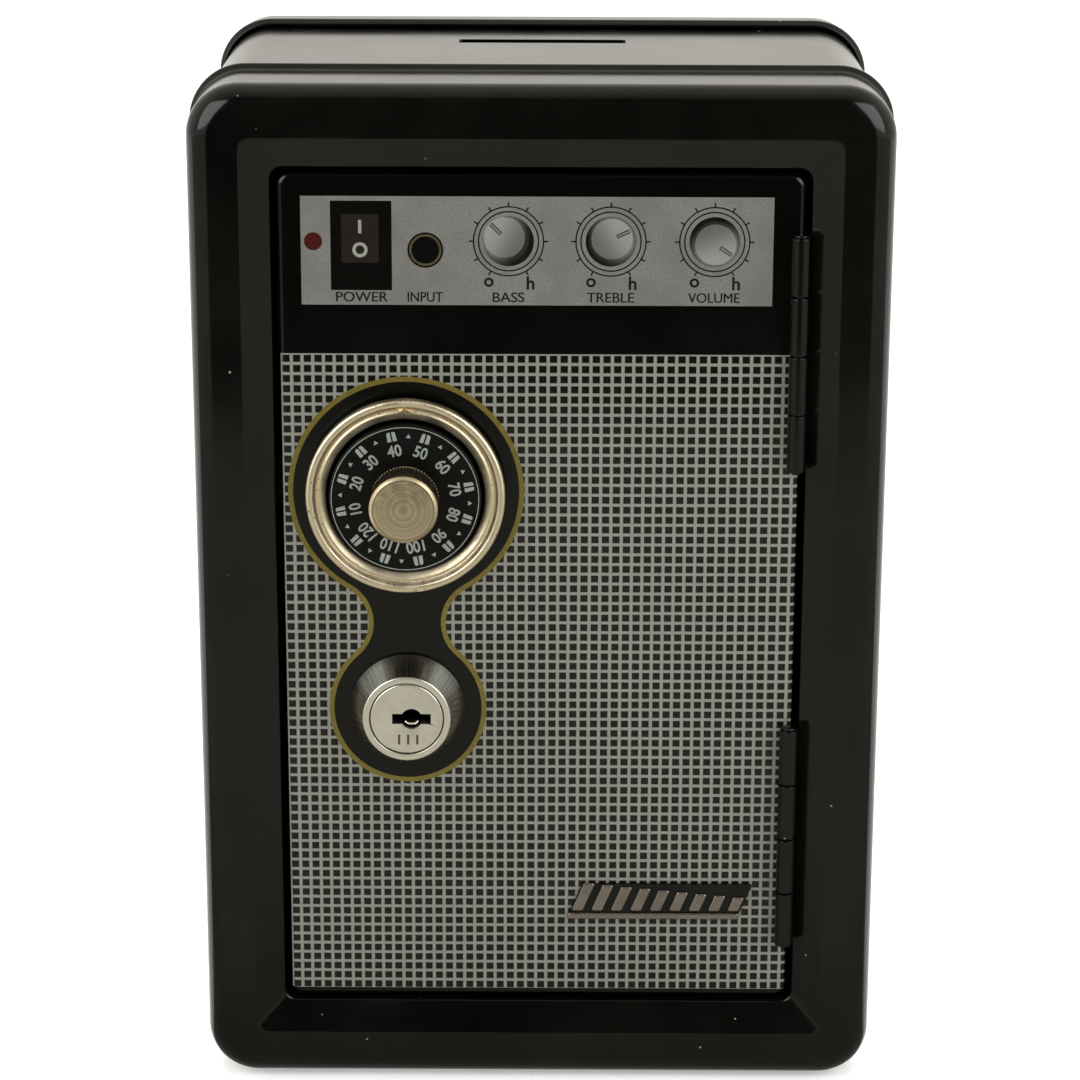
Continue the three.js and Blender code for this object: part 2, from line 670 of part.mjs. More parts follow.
function keeper() {
  const right = -JAMB_X - SHEET - SEAT;
  const left = right - KEEPER_SHEET;
  const tabEnd = DIAL_X - WHEEL_RADIUS + KEEPER_OVERLAP;
  const rear = KEEPER_TAB_Y + KEEPER_SHEET;
  const [halfPlate, halfTab] = [KEEPER_PLATE_HEIGHT / 2, KEEPER_TAB_HEIGHT / 2];
  const flat = block([left, 2 * SHEET, -halfPlate], [right, rear, halfPlate]);
  const tab = block([left, KEEPER_TAB_Y, -halfTab], [tabEnd, rear, halfTab]);
  return join(flat, tab);
}

function nameBadge() {
  const [w, h] = [BADGE_WIDTH / 2, BADGE_HEIGHT / 2];
  const lean = BADGE_SLANT / 2;
  const shape = new THREE.Shape();
  shape.moveTo(-w - lean, -h);
  shape.lineTo(w - lean, -h);
  shape.lineTo(w + lean, h);
  shape.lineTo(lean - w, h);
  return plate(shape, -SEAT - BADGE_THICKNESS, -SEAT);
}

// ---- materials ----

const finish = (color, roughness, metalness) => () =>
  new THREE.MeshStandardMaterial({ color, roughness, metalness });
const blackEnamel = finish(0x0b0b0b, 0.15, 0);
const printedEnamel = finish(0x3a3a38, 0.35, 0);
const blackPlastic = finish(0x111111, 0.4, 0);
const nickel = finish(0xc8bca4, 0.25, 1);
const chrome = finish(0xd5d5d0, 0.15, 1);
const zinc = finish(0xa8a8a4, 0.45, 1);
const steel = finish(0x8c8c8a, 0.4, 1);

// ---- assembly ----

const bank = new THREE.Group();
const doorGroup = new THREE.Group();
const dialGroup = new THREE.Group();
const lockGroup = new THREE.Group();
const bodyCentre = new THREE.Group();
bodyCentre.position.z = BODY_HEIGHT / 2;
doorGroup.position.y = RECESS;
dialGroup.position.set(DIAL_X, 0, DIAL_Z);
lockGroup.position.set(DIAL_X, 0, LOCK_Z);

function add(parent, name, geometry, material) {
  const mesh = new THREE.Mesh(geometry, material());
  mesh.name = name;
  parent.add(mesh);
  return mesh;
}

add(bodyCentre, "front_frame", frontFrame(), blackEnamel);
add(bodyCentre, "body_sleeve", bodySleeve(), blackEnamel);
add(bodyCentre, "back_cover", backCover(), blackEnamel);

add(doorGroup, "door_panel", doorPanel(), printedEnamel).position.z = BODY_HEIGHT / 2;
add(doorGroup, "dial_keeper", keeper(), steel).position.z = DIAL_Z;
add(doorGroup, "name_badge", nameBadge(), chrome).position.set(BADGE_X, 0, BADGE_Z);

for (const [place, z] of hingeHeights) {
  const hinge = new THREE.Group();
  hinge.position.set(HINGE_X, -HINGE_RISE, z);
  add(hinge, `${place}_hinge_frame_leaf`, frameLeaf(), blackEnamel);
  add(hinge, `${place}_hinge_door_leaf`, doorLeaf(), blackEnamel);
  add(hinge, `${place}_hinge_pin`, hingePin(), blackEnamel);
  doorGroup.add(hinge);
}

add(dialGroup, "dial_bezel", dialBezel(), nickel);
add(dialGroup, "wheel_post", wheelPost(), zinc);
add(dialGroup, "post_nut", hexNut(POST_RADIUS, POST_NUT_WALL), zinc);
add(dialGroup, "spring_washer", springWasher(), steel);
add(dialGroup, "dial_disc", dialDisc(), blackPlastic);
add(dialGroup, "dial_knob", dialKnob(), nickel);
add(dialGroup, "dial_spindle", dialSpindle(), steel);
add(dialGroup, "wheel_collar", spacer(NUT_REAR, WHEELS_Y), zinc);
add(dialGroup, "tumbler_wheel_front", wheel(0, WASHER_BORE), steel);
add(dialGroup, "wheel_washer_front", wheelWasher(0), zinc);
add(dialGroup, "tumbler_wheel_rear", wheel(1, WASHER_BORE), steel);
add(dialGroup, "wheel_washer_rear", wheelWasher(1), zinc);
add(dialGroup, "drive_wheel", wheel(DRIVE_WHEEL, SPINDLE_RADIUS + SEAT), steel);
add(dialGroup, "spindle_clip", spindleClip(), steel);

add(lockGroup, "lock_housing", lockHousing(), chrome);
add(lockGroup, "lock_plug", lockPlug(), chrome);
add(lockGroup, "lock_nut", hexNut(BARREL_RADIUS, LOCK_NUT_WALL), zinc);
add(lockGroup, "lock_cam", lockCam(), steel);
add(lockGroup, "cam_screw", camScrew(), steel);

doorGroup.add(dialGroup, lockGroup);
bank.add(bodyCentre, doorGroup);

// The part's origin is the middle of the box's underside; its foremost face is the knob's.
const foremost = RECESS + KNOB_FRONT;
bank.position.set(0, -(foremost + BODY_DEPTH) / 2, RIM_RISE);

const coinBank = new THREE.Group();
coinBank.name = "toy_safe_coin_bank";
coinBank.add(bank);

export default coinBank;
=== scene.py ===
"""The looks of a toy safe coin bank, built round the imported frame.

Sizes are in millimetres and in the row frame: X right, Y back from the door, Z up.
"""

import math

import bmesh
import bpy
from mathutils import Matrix, Vector, noise


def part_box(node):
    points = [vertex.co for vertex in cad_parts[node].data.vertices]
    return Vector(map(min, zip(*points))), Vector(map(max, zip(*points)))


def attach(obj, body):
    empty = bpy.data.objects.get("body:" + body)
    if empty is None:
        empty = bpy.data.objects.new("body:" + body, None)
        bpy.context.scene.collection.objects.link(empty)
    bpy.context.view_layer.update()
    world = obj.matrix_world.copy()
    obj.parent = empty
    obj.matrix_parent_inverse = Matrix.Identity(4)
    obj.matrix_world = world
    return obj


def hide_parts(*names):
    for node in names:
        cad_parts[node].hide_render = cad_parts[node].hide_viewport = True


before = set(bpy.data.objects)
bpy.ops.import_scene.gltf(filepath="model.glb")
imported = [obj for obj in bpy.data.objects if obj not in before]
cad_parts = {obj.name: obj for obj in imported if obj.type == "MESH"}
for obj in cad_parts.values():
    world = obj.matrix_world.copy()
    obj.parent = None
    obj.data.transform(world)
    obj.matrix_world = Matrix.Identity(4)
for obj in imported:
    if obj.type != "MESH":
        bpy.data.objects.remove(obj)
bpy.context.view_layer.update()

MM = 0.001
SMOOTH_ANGLE = math.radians(32)
LATHE_STEPS = 160
ARC_STEPS = 5
INK = 0.02


# ---- the frame's own places ----


def box(node):
    """A CAD node's lowest and highest corners in millimetres."""
    low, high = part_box(node)
    return low / MM, high / MM


FRAME_LOW, FRAME_HIGH = box("front_frame")
SLEEVE_LOW, SLEEVE_HIGH = box("body_sleeve")
COVER_LOW, COVER_HIGH = box("back_cover")
DOOR_LOW, DOOR_HIGH = box("door_panel")
BEZEL_LOW, BEZEL_HIGH = box("dial_bezel")
DIAL_LOW, DIAL_HIGH = box("dial_disc")
KNOB_LOW, KNOB_HIGH = box("dial_knob")
LOCK_LOW, LOCK_HIGH = box("lock_housing")
PLUG_LOW, PLUG_HIGH = box("lock_plug")
PIN_LOW, PIN_HIGH = box("upper_hinge_pin")

RIM_RISE = 1.0
SHEET = 0.7
HALF_WIDTH = FRAME_HIGH.x - RIM_RISE
HALF_HEIGHT = (FRAME_HIGH.z - FRAME_LOW.z) / 2 - RIM_RISE
MIDDLE_Z = (FRAME_HIGH.z + FRAME_LOW.z) / 2
FACE_Y = FRAME_LOW.y
DOOR_Y = DOOR_LOW.y
RECESS = DOOR_Y - FACE_Y
DOOR_HALF_WIDTH = DOOR_HIGH.x
DOOR_HALF_HEIGHT = (DOOR_HIGH.z - DOOR_LOW.z) / 2
DIAL_X = (BEZEL_LOW.x + BEZEL_HIGH.x) / 2
DIAL_Z = (BEZEL_LOW.z + BEZEL_HIGH.z) / 2
LOCK_X = (LOCK_LOW.x + LOCK_HIGH.x) / 2
LOCK_Z = (LOCK_LOW.z + LOCK_HIGH.z) / 2
PIN_X = (PIN_LOW.x + PIN_HIGH.x) / 2
PIN_Y = (PIN_LOW.y + PIN_HIGH.y) / 2

CORNER_RADIUS = 9.0
FRONT_ROUND = 6.5
REAR_ROUND = 4.5
SLEEVE_INSET = 0.55
COVER_RISE = 0.45
CREASE_INSET = 8.9
OPENING_INSET = 14.1
OPENING_RADIUS = 2.2
JAMB_DEPTH = 7.5
RIM_WIDTH = 1.6
RIM_RAMP = 1.0


# ---- solids as (points, faces) ----


def arc(centre, radius, start, end, steps):
    """Points on an arc, as pairs, from one angle to another."""
    spread = [start + (end - start) * i / steps for i in range(steps + 1)]
    return [(centre[0] + radius * math.cos(a), centre[1] + radius * math.sin(a)) for a in spread]


def rounded(corners, steps=ARC_STEPS):
    """A closed outline from (across, along, radius) corners, each rounded where there is room."""
    points = []
    for i, (x, y, radius) in enumerate(corners):
        corner = Vector((x, y))
        back = Vector(corners[i - 1][:2]) - corner
        ahead = Vector(corners[(i + 1) % len(corners)][:2]) - corner
        half = back.angle(ahead) / 2
        if radius == 0 or half > 0.499 * math.pi:
            points.append((x, y))
            continue
        reach = min(radius / math.tan(half), 0.48 * back.length, 0.48 * ahead.length)
        fitted = reach * math.tan(half)
        start = corner + back.normalized() * reach
        inwards = (back.normalized() + ahead.normalized()).normalized()
        centre = corner + inwards * (fitted / math.sin(half))
        spoke = start - centre
        side = back.x * ahead.y - back.y * ahead.x
        turn = math.copysign(math.pi - 2 * half, -side)
        for k in range(steps + 1):
            points.append(tuple(centre + Matrix.Rotation(turn * k / steps, 2) @ spoke))
    return points


def rectangle(half_width, half_height, radius, corner_steps=12, edge_steps=(1, 1)):
    """A rounded rectangle in X and Z, with as many points at any size, from the right side upwards."""
    points = []
    for turn, (x, z) in enumerate([(1, 1), (-1, 1), (-1, -1), (1, -1)]):
        centre = (x * (half_width - radius), z * (half_height - radius))
        start = turn * math.pi / 2
        points += arc(centre, radius, start, start + math.pi / 2, corner_steps)
    count = corner_steps + 1
    filled = []
    for turn in range(4):
        filled += points[turn * count:(turn + 1) * count]
        last = Vector(points[(turn + 1) * count - 1])
        after = Vector(points[(turn + 1) * count % len(points)])
        steps = edge_steps[turn % 2]
        filled += [tuple(last.lerp(after, k / steps)) for k in range(1, steps)]
    return filled


def skin(layers, loops=False):
    """A skin through layers of equally many points, closed on itself or by two caps."""
    count = len(layers[0])
    points = [p for layer in layers for p in layer]
    faces = []
    pairs = len(layers) if loops else len(layers) - 1
    for layer in range(pairs):
        here, there = layer * count, (layer + 1) % len(layers) * count
        for i in range(count):
            j = (i + 1) % count
            faces.append((here + i, there + i, there + j, here + j))
    if not loops:
        faces.append(tuple(range(count)))
        faces.append(tuple(reversed(range(len(points) - count, len(points)))))
    return points, faces


def turned(profile, x, z, segments=LATHE_STEPS, teeth=0, depth=0.0):
    """A piece turned about an axis along Y from closed (radius, y) pairs.

    A third value on a pair is how much of the teeth's depth it has there.
    """
    layers = []
    for i in range(segments):
        angle = 2 * math.pi * i / segments
        bite = depth * (0.5 - 0.5 * math.cos(teeth * angle))
        layer = []
        for radius, y, *share in profile:
            r = radius - (bite * share[0] if share else 0)
            layer.append((x + r * math.cos(angle), y, z + r * math.sin(angle)))
        layers.append(layer)
    return skin(layers, loops=True)


def upright(solid, x, y, z):
    """A piece turned about Y at the origin, set upright at a place."""
    points, faces = solid
    return [(x + px, y + pz, z + py) for px, py, pz in points], faces


def prism(outline, *depths):
    """A solid with the same X and Z outline at each depth."""
    return skin([[(x, y, z) for x, z in outline] for y in depths])


def plate(outline, front, rear, edge=0.0, holes=()):
    """A flat plate from X and Z outlines. edge rounds its front border off."""
    work = bmesh.new()
    for loop in [outline, *holes]:
        ring = [work.verts.new((px, front, pz)) for px, pz in loop]
        for a, b in zip(ring, ring[1:] + ring[:1]):
            work.edges.new((a, b))
    bmesh.ops.triangle_fill(work, use_beauty=True, use_dissolve=True, edges=work.edges[:])
    face = bmesh.ops.extrude_face_region(work, geom=work.faces[:])
    moved = [v for v in face["geom"] if isinstance(v, bmesh.types.BMVert)]
    bmesh.ops.translate(work, vec=(0, rear - front, 0), verts=moved)
    bmesh.ops.recalc_face_normals(work, faces=work.faces[:])
    if edge:
        border = [e for e in work.edges if all(abs(v.co.y - front) < 1e-6 for v in e.verts)]
        border = [e for e in border if e.calc_face_angle(0) > 0.7]
        bmesh.ops.bevel(work, geom=border, offset=edge, segments=3, profile=0.5, affect="EDGES")
    work.verts.index_update()
    points = [tuple(v.co) for v in work.verts]
    faces = [tuple(v.index for v in f.verts) for f in work.faces]
    work.free()
    return points, faces


def circle(x, z, radius, steps=72):
    """A circle's outline."""
    return arc((x, z), radius, 0, 2 * math.pi, steps)[:-1]


def band(x, z, inner, outer, front, rear, steps=96):
    """A thin flat ring."""
    section = [(inner, front), (outer, front), (outer, rear), (inner, rear)]
    return turned(section, x, z, steps)


def corners_of(left, right, low, high):
    """A rectangle's outline."""
    return [(left, low), (right, low), (right, high), (left, high)]


def bar_shape(start, end, width):
    """A straight stroke's outline from one point to another."""
    a, b = Vector(start), Vector(end)
    along = (b - a).normalized() * width / 2
    across = Vector((-along.y, along.x))
    return [tuple(p) for p in (a - across, b - across, b + across, a + across)]


def block(low, high):
    """A box between two corners, for cutting and for flat sheet strips."""
    xs, ys, zs = zip(low, high)
    return prism(corners_of(*xs, *zs), *ys)


def together(*solids):
    """Several solids as one."""
    points, faces = [], []
    for more, loops in solids:
        faces += [tuple(i + len(points) for i in face) for face in loops]
        points += more
    return points, faces


def placed(name, data):
    """A new object in the scene."""
    thing = bpy.data.objects.new(name, data)
    bpy.context.scene.collection.objects.link(thing)
    return thing


def evaluated_mesh(thing):
    """A new mesh of what an object looks like with its modifiers or its text."""
    bpy.context.view_layer.update()
    return bpy.data.meshes.new_from_object(thing.evaluated_get(bpy.context.evaluated_depsgraph_get()))


def lettering(text, height, x, z, front, turn=0.0, squeeze=1.0, weight=0.022):
    """Flat characters of a given height, centred at x and z and turned clockwise."""
    curve = bpy.data.curves.new("lettering", "FONT")
    curve.body = text
    curve.align_x = "CENTER"
    curve.extrude = 0.01
    curve.offset = weight
    curve.resolution_u = 6
    holder = placed("lettering", curve)
    mesh = evaluated_mesh(holder)
    raw = [v.co.copy() for v in mesh.vertices]
    faces = [tuple(p.vertices) for p in mesh.polygons]
    bpy.data.objects.remove(holder)
    bpy.data.curves.remove(curve)
    bpy.data.meshes.remove(mesh)
    low = Vector(map(min, *raw))
    high = Vector(map(max, *raw))
    middle = (low + high) / 2
    scale = height / (high.y - low.y)
    cos, sin = math.cos(turn), math.sin(turn)
    points = []
    for v in raw:
        across = (v.x - middle.x) * scale * squeeze
        up = (v.y - middle.y) * scale
        depth = 0 if v.z > 0 else INK
        points.append((x + across * cos + up * sin, front + depth, z - across * sin + up * cos))
    return points, faces


# ---- pieces ----


def raw_mesh(name, solid, merge):
    """A solid's mesh in metres with its faces turned outwards, and with points that meet merged."""
    points, faces = solid
    mesh = bpy.data.meshes.new(name)
    mesh.from_pydata([Vector(p) * MM for p in points], [], faces)
    work = bmesh.new()
    work.from_mesh(mesh)
    if merge:
        bmesh.ops.remove_doubles(work, verts=work.verts[:], dist=1e-4 * MM)
        bmesh.ops.dissolve_degenerate(work, edges=work.edges[:], dist=1e-5 * MM)
    bmesh.ops.recalc_face_normals(work, faces=work.faces[:])
    work.to_mesh(mesh)
    work.free()
    return mesh


def smooth(mesh):
    mesh.shade_smooth()
    mesh.set_sharp_from_angle(angle=SMOOTH_ANGLE)


def piece(name, solid, material, body, stands_for=(), bevel=0.0):
    """One named object from a solid, riding on a body and standing for CAD nodes."""
    mesh = raw_mesh(name, solid, merge=True)
    smooth(mesh)
    mesh.materials.append(material)
    thing = placed(name, mesh)
    if bevel:
        soften(thing, bevel)
    weigh_normals(thing)
    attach(thing, body)
    if stands_for:
        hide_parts(*stands_for)
    return thing


def door_print_piece(name, solid, material):
    """A thin print on the door."""
    piece(name, solid, material, "door")


def soften(thing, width):
    """Small rounded edges where faces meet at a sharp angle."""
    bevel = thing.modifiers.new("edges", "BEVEL")
    bevel.width = width * MM
    bevel.segments = 2
    bevel.limit_method = "ANGLE"
    bevel.angle_limit = math.radians(40)
    bevel.harden_normals = False


def weigh_normals(thing):
    """Keeps large flat faces looking flat beside their rounded edges."""
    normals = thing.modifiers.new("normals", "WEIGHTED_NORMAL")
    normals.keep_sharp = True
    normals.weight = 60


def carve(thing, *cutters, bevel=0.0):
    """Cuts solids out of a piece and applies the result."""
    thing.modifiers.clear()
    tools = []
    for cutter in cutters:
        tools.append(placed("cutter", raw_mesh("cutter", cutter, merge=False)))
        cut = thing.modifiers.new("cut", "BOOLEAN")
        cut.operation = "DIFFERENCE"
        cut.solver = "EXACT"
        cut.object = tools[-1]
    if bevel:
        soften(thing, bevel)
    result = evaluated_mesh(thing)
    thing.modifiers.clear()
    thing.data = result
    result.name = thing.name
    smooth(result)
    for tool in tools:
        bpy.data.objects.remove(tool)
    weigh_normals(thing)


# ---- materials ----


def linear(red, green, blue):
    """A colour from display values of 0 to 255."""
    def one(value):
        share = value / 255
        return share / 12.92 if share <= 0.04045 else ((share + 0.055) / 1.055) ** 2.4
    return (one(red), one(green), one(blue), 1.0)


def ink(red, green, blue):
    """A printed colour that looks like these display values in the studio's light."""
    return tuple(value / PRINT_LIGHT for value in linear(red, green, blue)[:3]) + (1.0,)


def ranged(tree, value, low, high, bottom, top):
    """A value mapped softly from low..high to bottom..top and held there."""
    node = tree.nodes.new("ShaderNodeMapRange")
    node.interpolation_type = "SMOOTHSTEP"
    tree.links.new(value, node.inputs["Value"])
    for socket, number in (("From Min", low), ("From Max", high), ("To Min", bottom), ("To Max", top)):
        node.inputs[socket].default_value = number
    return node.outputs[0]


class Paint:
    """A principled material and short ways to add nodes to it."""

    def __init__(self, name, **constants):
        self.material = bpy.data.materials.new(name)
        self.material.use_nodes = True
        self.tree = self.material.node_tree
        self.shader = self.tree.nodes["Principled BSDF"]
        for socket, value in constants.items():
            self.shader.inputs[socket.replace("_", " ")].default_value = value
        here = self.make("ShaderNodeTexCoord").outputs["Object"]
        scale = self.make("ShaderNodeVectorMath", operation="SCALE")
        self.link(here, scale.inputs[0])
        scale.inputs["Scale"].default_value = 1 / MM
        self.place = scale.outputs[0]

    def make(self, kind, **settings):
        node = self.tree.nodes.new(kind)
        for key, value in settings.items():
            setattr(node, key, value)
        return node

    def link(self, source, target):
        if isinstance(source, bpy.types.NodeSocket):
            self.tree.links.new(source, target)
        else:
            target.default_value = source

    def math(self, operation, a, b=0.0):
        node = self.make("ShaderNodeMath", operation=operation)
        self.link(a, node.inputs[0])
        self.link(b, node.inputs[1])
        return node.outputs[0]

    def axes(self, vector=None):
        node = self.make("ShaderNodeSeparateXYZ")
        self.link(vector or self.place, node.inputs[0])
        return node.outputs

    def away(self, x, y, z):
        """The place measured from a point."""
        node = self.make("ShaderNodeVectorMath", operation="SUBTRACT")
        self.link(self.place, node.inputs[0])
        node.inputs[1].default_value = (x, y, z)
        return node.outputs[0]

    def stretched(self, x, y, z):
        node = self.make("ShaderNodeVectorMath", operation="MULTIPLY")
        self.link(self.place, node.inputs[0])
        node.inputs[1].default_value = (x, y, z)
        return node.outputs[0]

    def noise(self, value, scale, detail, roughness):
        """Noise from 0 to 1, of a vector or of a single number."""
        single = value.type == "VALUE"
        node = self.make("ShaderNodeTexNoise", noise_dimensions="1D" if single else "3D")
        self.link(value, node.inputs["W" if single else "Vector"])
        node.inputs["Scale"].default_value = scale
        node.inputs["Detail"].default_value = detail
        node.inputs["Roughness"].default_value = roughness
        return node.outputs["Fac"]

    def grain(self, scale, detail=3.0, roughness=0.5, vector=None):
        """Noise with about scale cells to a millimetre."""
        return self.noise(vector or self.place, scale, detail, roughness)

    def specks(self, scale, size):
        """Sparse round specks, 1 inside and 0 outside."""
        node = self.make("ShaderNodeTexVoronoi")
        self.link(self.place, node.inputs["Vector"])
        node.inputs["Scale"].default_value = scale
        return self.math("LESS_THAN", node.outputs["Distance"], size)

    def between(self, value, low, high, bottom=0.0, top=1.0):
        """The value mapped from low..high to bottom..top and held there."""
        return ranged(self.tree, value, low, high, bottom, top)

    def mix(self, share, first, second):
        node = self.make("ShaderNodeMix", data_type="RGBA")
        self.link(share, node.inputs[0])
        self.link(first, node.inputs[6])
        self.link(second, node.inputs[7])
        return node.outputs[2]

    def blend(self, share, first, second):
        node = self.make("ShaderNodeMix", data_type="FLOAT")
        self.link(share, node.inputs[0])
        self.link(first, node.inputs[2])
        self.link(second, node.inputs[3])
        return node.outputs[0]

    def bump(self, height, distance):
        node = self.make("ShaderNodeBump")
        self.link(height, node.inputs["Height"])
        node.inputs["Distance"].default_value = distance * MM
        self.link(node.outputs[0], self.shader.inputs["Normal"])

    def colour(self, value):
        self.link(value, self.shader.inputs["Base Color"])

    def rough(self, value):
        self.link(value, self.shader.inputs["Roughness"])


ENAMEL_IOR = 1.38
PRINT_LIGHT = 1.8
BLACK = linear(4, 4, 3)
DUST = linear(120, 118, 108)


def enamel(name, gloss=0.11):
    """Black gloss enamel: a faint orange peel, soft smears and a little dust."""
    paint = Paint(name, IOR=ENAMEL_IOR)
    smears = paint.grain(0.05, detail=4, roughness=0.6)
    fine = paint.grain(1.4, detail=2)
    dust = paint.math("MULTIPLY", paint.specks(0.16, 0.035), paint.between(paint.grain(0.04), 0.45, 0.6))
    base = paint.mix(paint.between(smears, 0.3, 0.75), BLACK, linear(9, 9, 7))
    paint.colour(paint.mix(dust, base, DUST))
    rough = paint.between(smears, 0.3, 0.8, gloss, gloss + 0.05)
    paint.rough(paint.blend(dust, paint.math("ADD", rough, paint.math("MULTIPLY", fine, 0.02)), 0.6))
    paint.bump(paint.math("ADD", paint.grain(0.35, detail=1), paint.math("MULTIPLY", fine, 0.15)), 0.006)
    return paint.material


def metal(name, colour, dark, rough, pits=0.0, streaks=(1, 1, 1), painted_shade_behind=None, bump=0.004):
    """Plated metal with soft tarnish and fine scratches.

    pits adds dark corrosion spots, and metal deeper than painted_shade_behind is painted dark as shade.
    """
    paint = Paint(name, Metallic=1.0)
    cloud = paint.grain(0.25, detail=5, roughness=0.65)
    scratch = paint.grain(3.0, detail=2, vector=paint.stretched(*streaks))
    tone = paint.mix(paint.between(cloud, 0.35, 0.75, 0, 0.5), colour, dark)
    ground = paint.between(cloud, 0.3, 0.7, rough * 0.8, rough * 1.3)
    height = paint.math("MULTIPLY", scratch, 0.25)
    if pits:
        where = paint.between(paint.grain(0.11, detail=2), 0.5, 0.56)
        pitted = paint.math("MULTIPLY", paint.specks(1.3, 0.17), where)
        tone = paint.mix(paint.math("MULTIPLY", pitted, pits), tone, linear(60, 45, 30))
        ground = paint.blend(pitted, ground, 0.6)
    if painted_shade_behind is not None:
        # Painted shade: metal deeper than painted_shade_behind gets a dark colour, for the shade in the
        # hollows behind the front.
        depth = paint.axes()[1]
        tone = paint.mix(paint.between(depth, painted_shade_behind, painted_shade_behind + 1), tone, linear(14, 13, 11))
    paint.colour(tone)
    paint.rough(ground)
    paint.bump(height, bump)
    return paint.material


def polar(paint, x, z):
    """Distance and angle about an axis along Y, in millimetres and radians."""
    axes = paint.axes(paint.away(x, 0, z))
    squares = paint.math("ADD", paint.math("POWER", axes[0], 2), paint.math("POWER", axes[2], 2))
    return paint.math("SQRT", squares), paint.math("ARCTAN2", axes[2], axes[0])


def spun_metal(name, x, z, colour, dark, rough):
    """Metal turned on a lathe: fine uneven rings about its axis, and painted shade down its side."""
    paint = Paint(name, Metallic=1.0)
    radius, _ = polar(paint, x, z)
    ring = paint.noise(radius, 2.6, 3, 0.8)
    cloud = paint.grain(0.6, detail=5, roughness=0.7)
    tarnish = paint.between(cloud, 0.4, 0.8, 0, 0.15)
    share = paint.math("ADD", paint.between(ring, 0.42, 0.62, 0, 0.85), tarnish)
    tone = paint.mix(share, colour, dark)
    # Painted shade: the knurled side behind the face is painted dark brown, darker further back.
    flank = paint.between(paint.axes()[1], KNOB_LOW.y + 0.6, KNOB_LOW.y + 1.4, 0, 0.75)
    paint.colour(paint.mix(flank, tone, linear(60, 50, 36)))
    paint.rough(paint.between(cloud, 0.3, 0.7, rough * 0.85, rough * 1.25))
    paint.bump(ring, 0.012)
    return paint.material


def cone_metal(name, x, z, colour, dark, rough, face_radius):
    """Polished metal with marks that run away from its axis. Its flat face is duller, and painted lighter
    than the flank as painted light.
    """
    paint = Paint(name, Metallic=1.0)
    radius, angle = polar(paint, x, z)
    streak = paint.noise(angle, 22, 4, 0.7)
    tone = paint.mix(paint.between(streak, 0.35, 0.75, 0, 0.7), colour, dark)
    # Painted light and shade: the flat face gets a light colour and the cone's flank a darker one, though
    # both are one metal.
    flank = paint.between(radius, face_radius - 0.05, face_radius + 0.05)
    paint.colour(paint.mix(flank, linear(236, 232, 218), tone))
    paint.rough(paint.blend(flank, 0.3, paint.between(streak, 0.3, 0.7, rough * 0.8, rough * 1.4)))
    paint.bump(streak, 0.003)
    return paint.material


def printed(name, colour, second, rough=0.2, fleck=0.0, shine=0.5):
    """Ink on enamel: the colour with a fine mottle."""
    paint = Paint(name, IOR=ENAMEL_IOR, Specular_IOR_Level=shine)
    mottle = paint.grain(2.2, detail=4, roughness=0.7)
    paint.colour(paint.mix(paint.between(mottle, 0.3, 0.7, 0, 1), colour, second))
    paint.rough(paint.between(paint.grain(0.2), 0.3, 0.7, rough * 0.8, rough * 1.2))
    if fleck:
        paint.bump(mottle, fleck)
    return paint.material


# ---- the door's print: a silver panel, a black band and a grille pattern ----

PANEL_LEFT, PANEL_RIGHT = -40.8, 39.5
PANEL_LOW, PANEL_HIGH = 144.2, 163.0
GRILLE_LOW, GRILLE_HIGH = 17.5, 135.65
GRILLE_HALF_WIDTH = 44.6
GRILLE_PITCH_X, GRILLE_PITCH_Z = 1.837, 1.793
GRILLE_LINE_X, GRILLE_LINE_Z = 0.3, 0.29
DOOR_EDGE_ROUND = 1.2
LIGHT_INK = ink(140, 140, 131)
DARK_INK = ink(17, 17, 13)


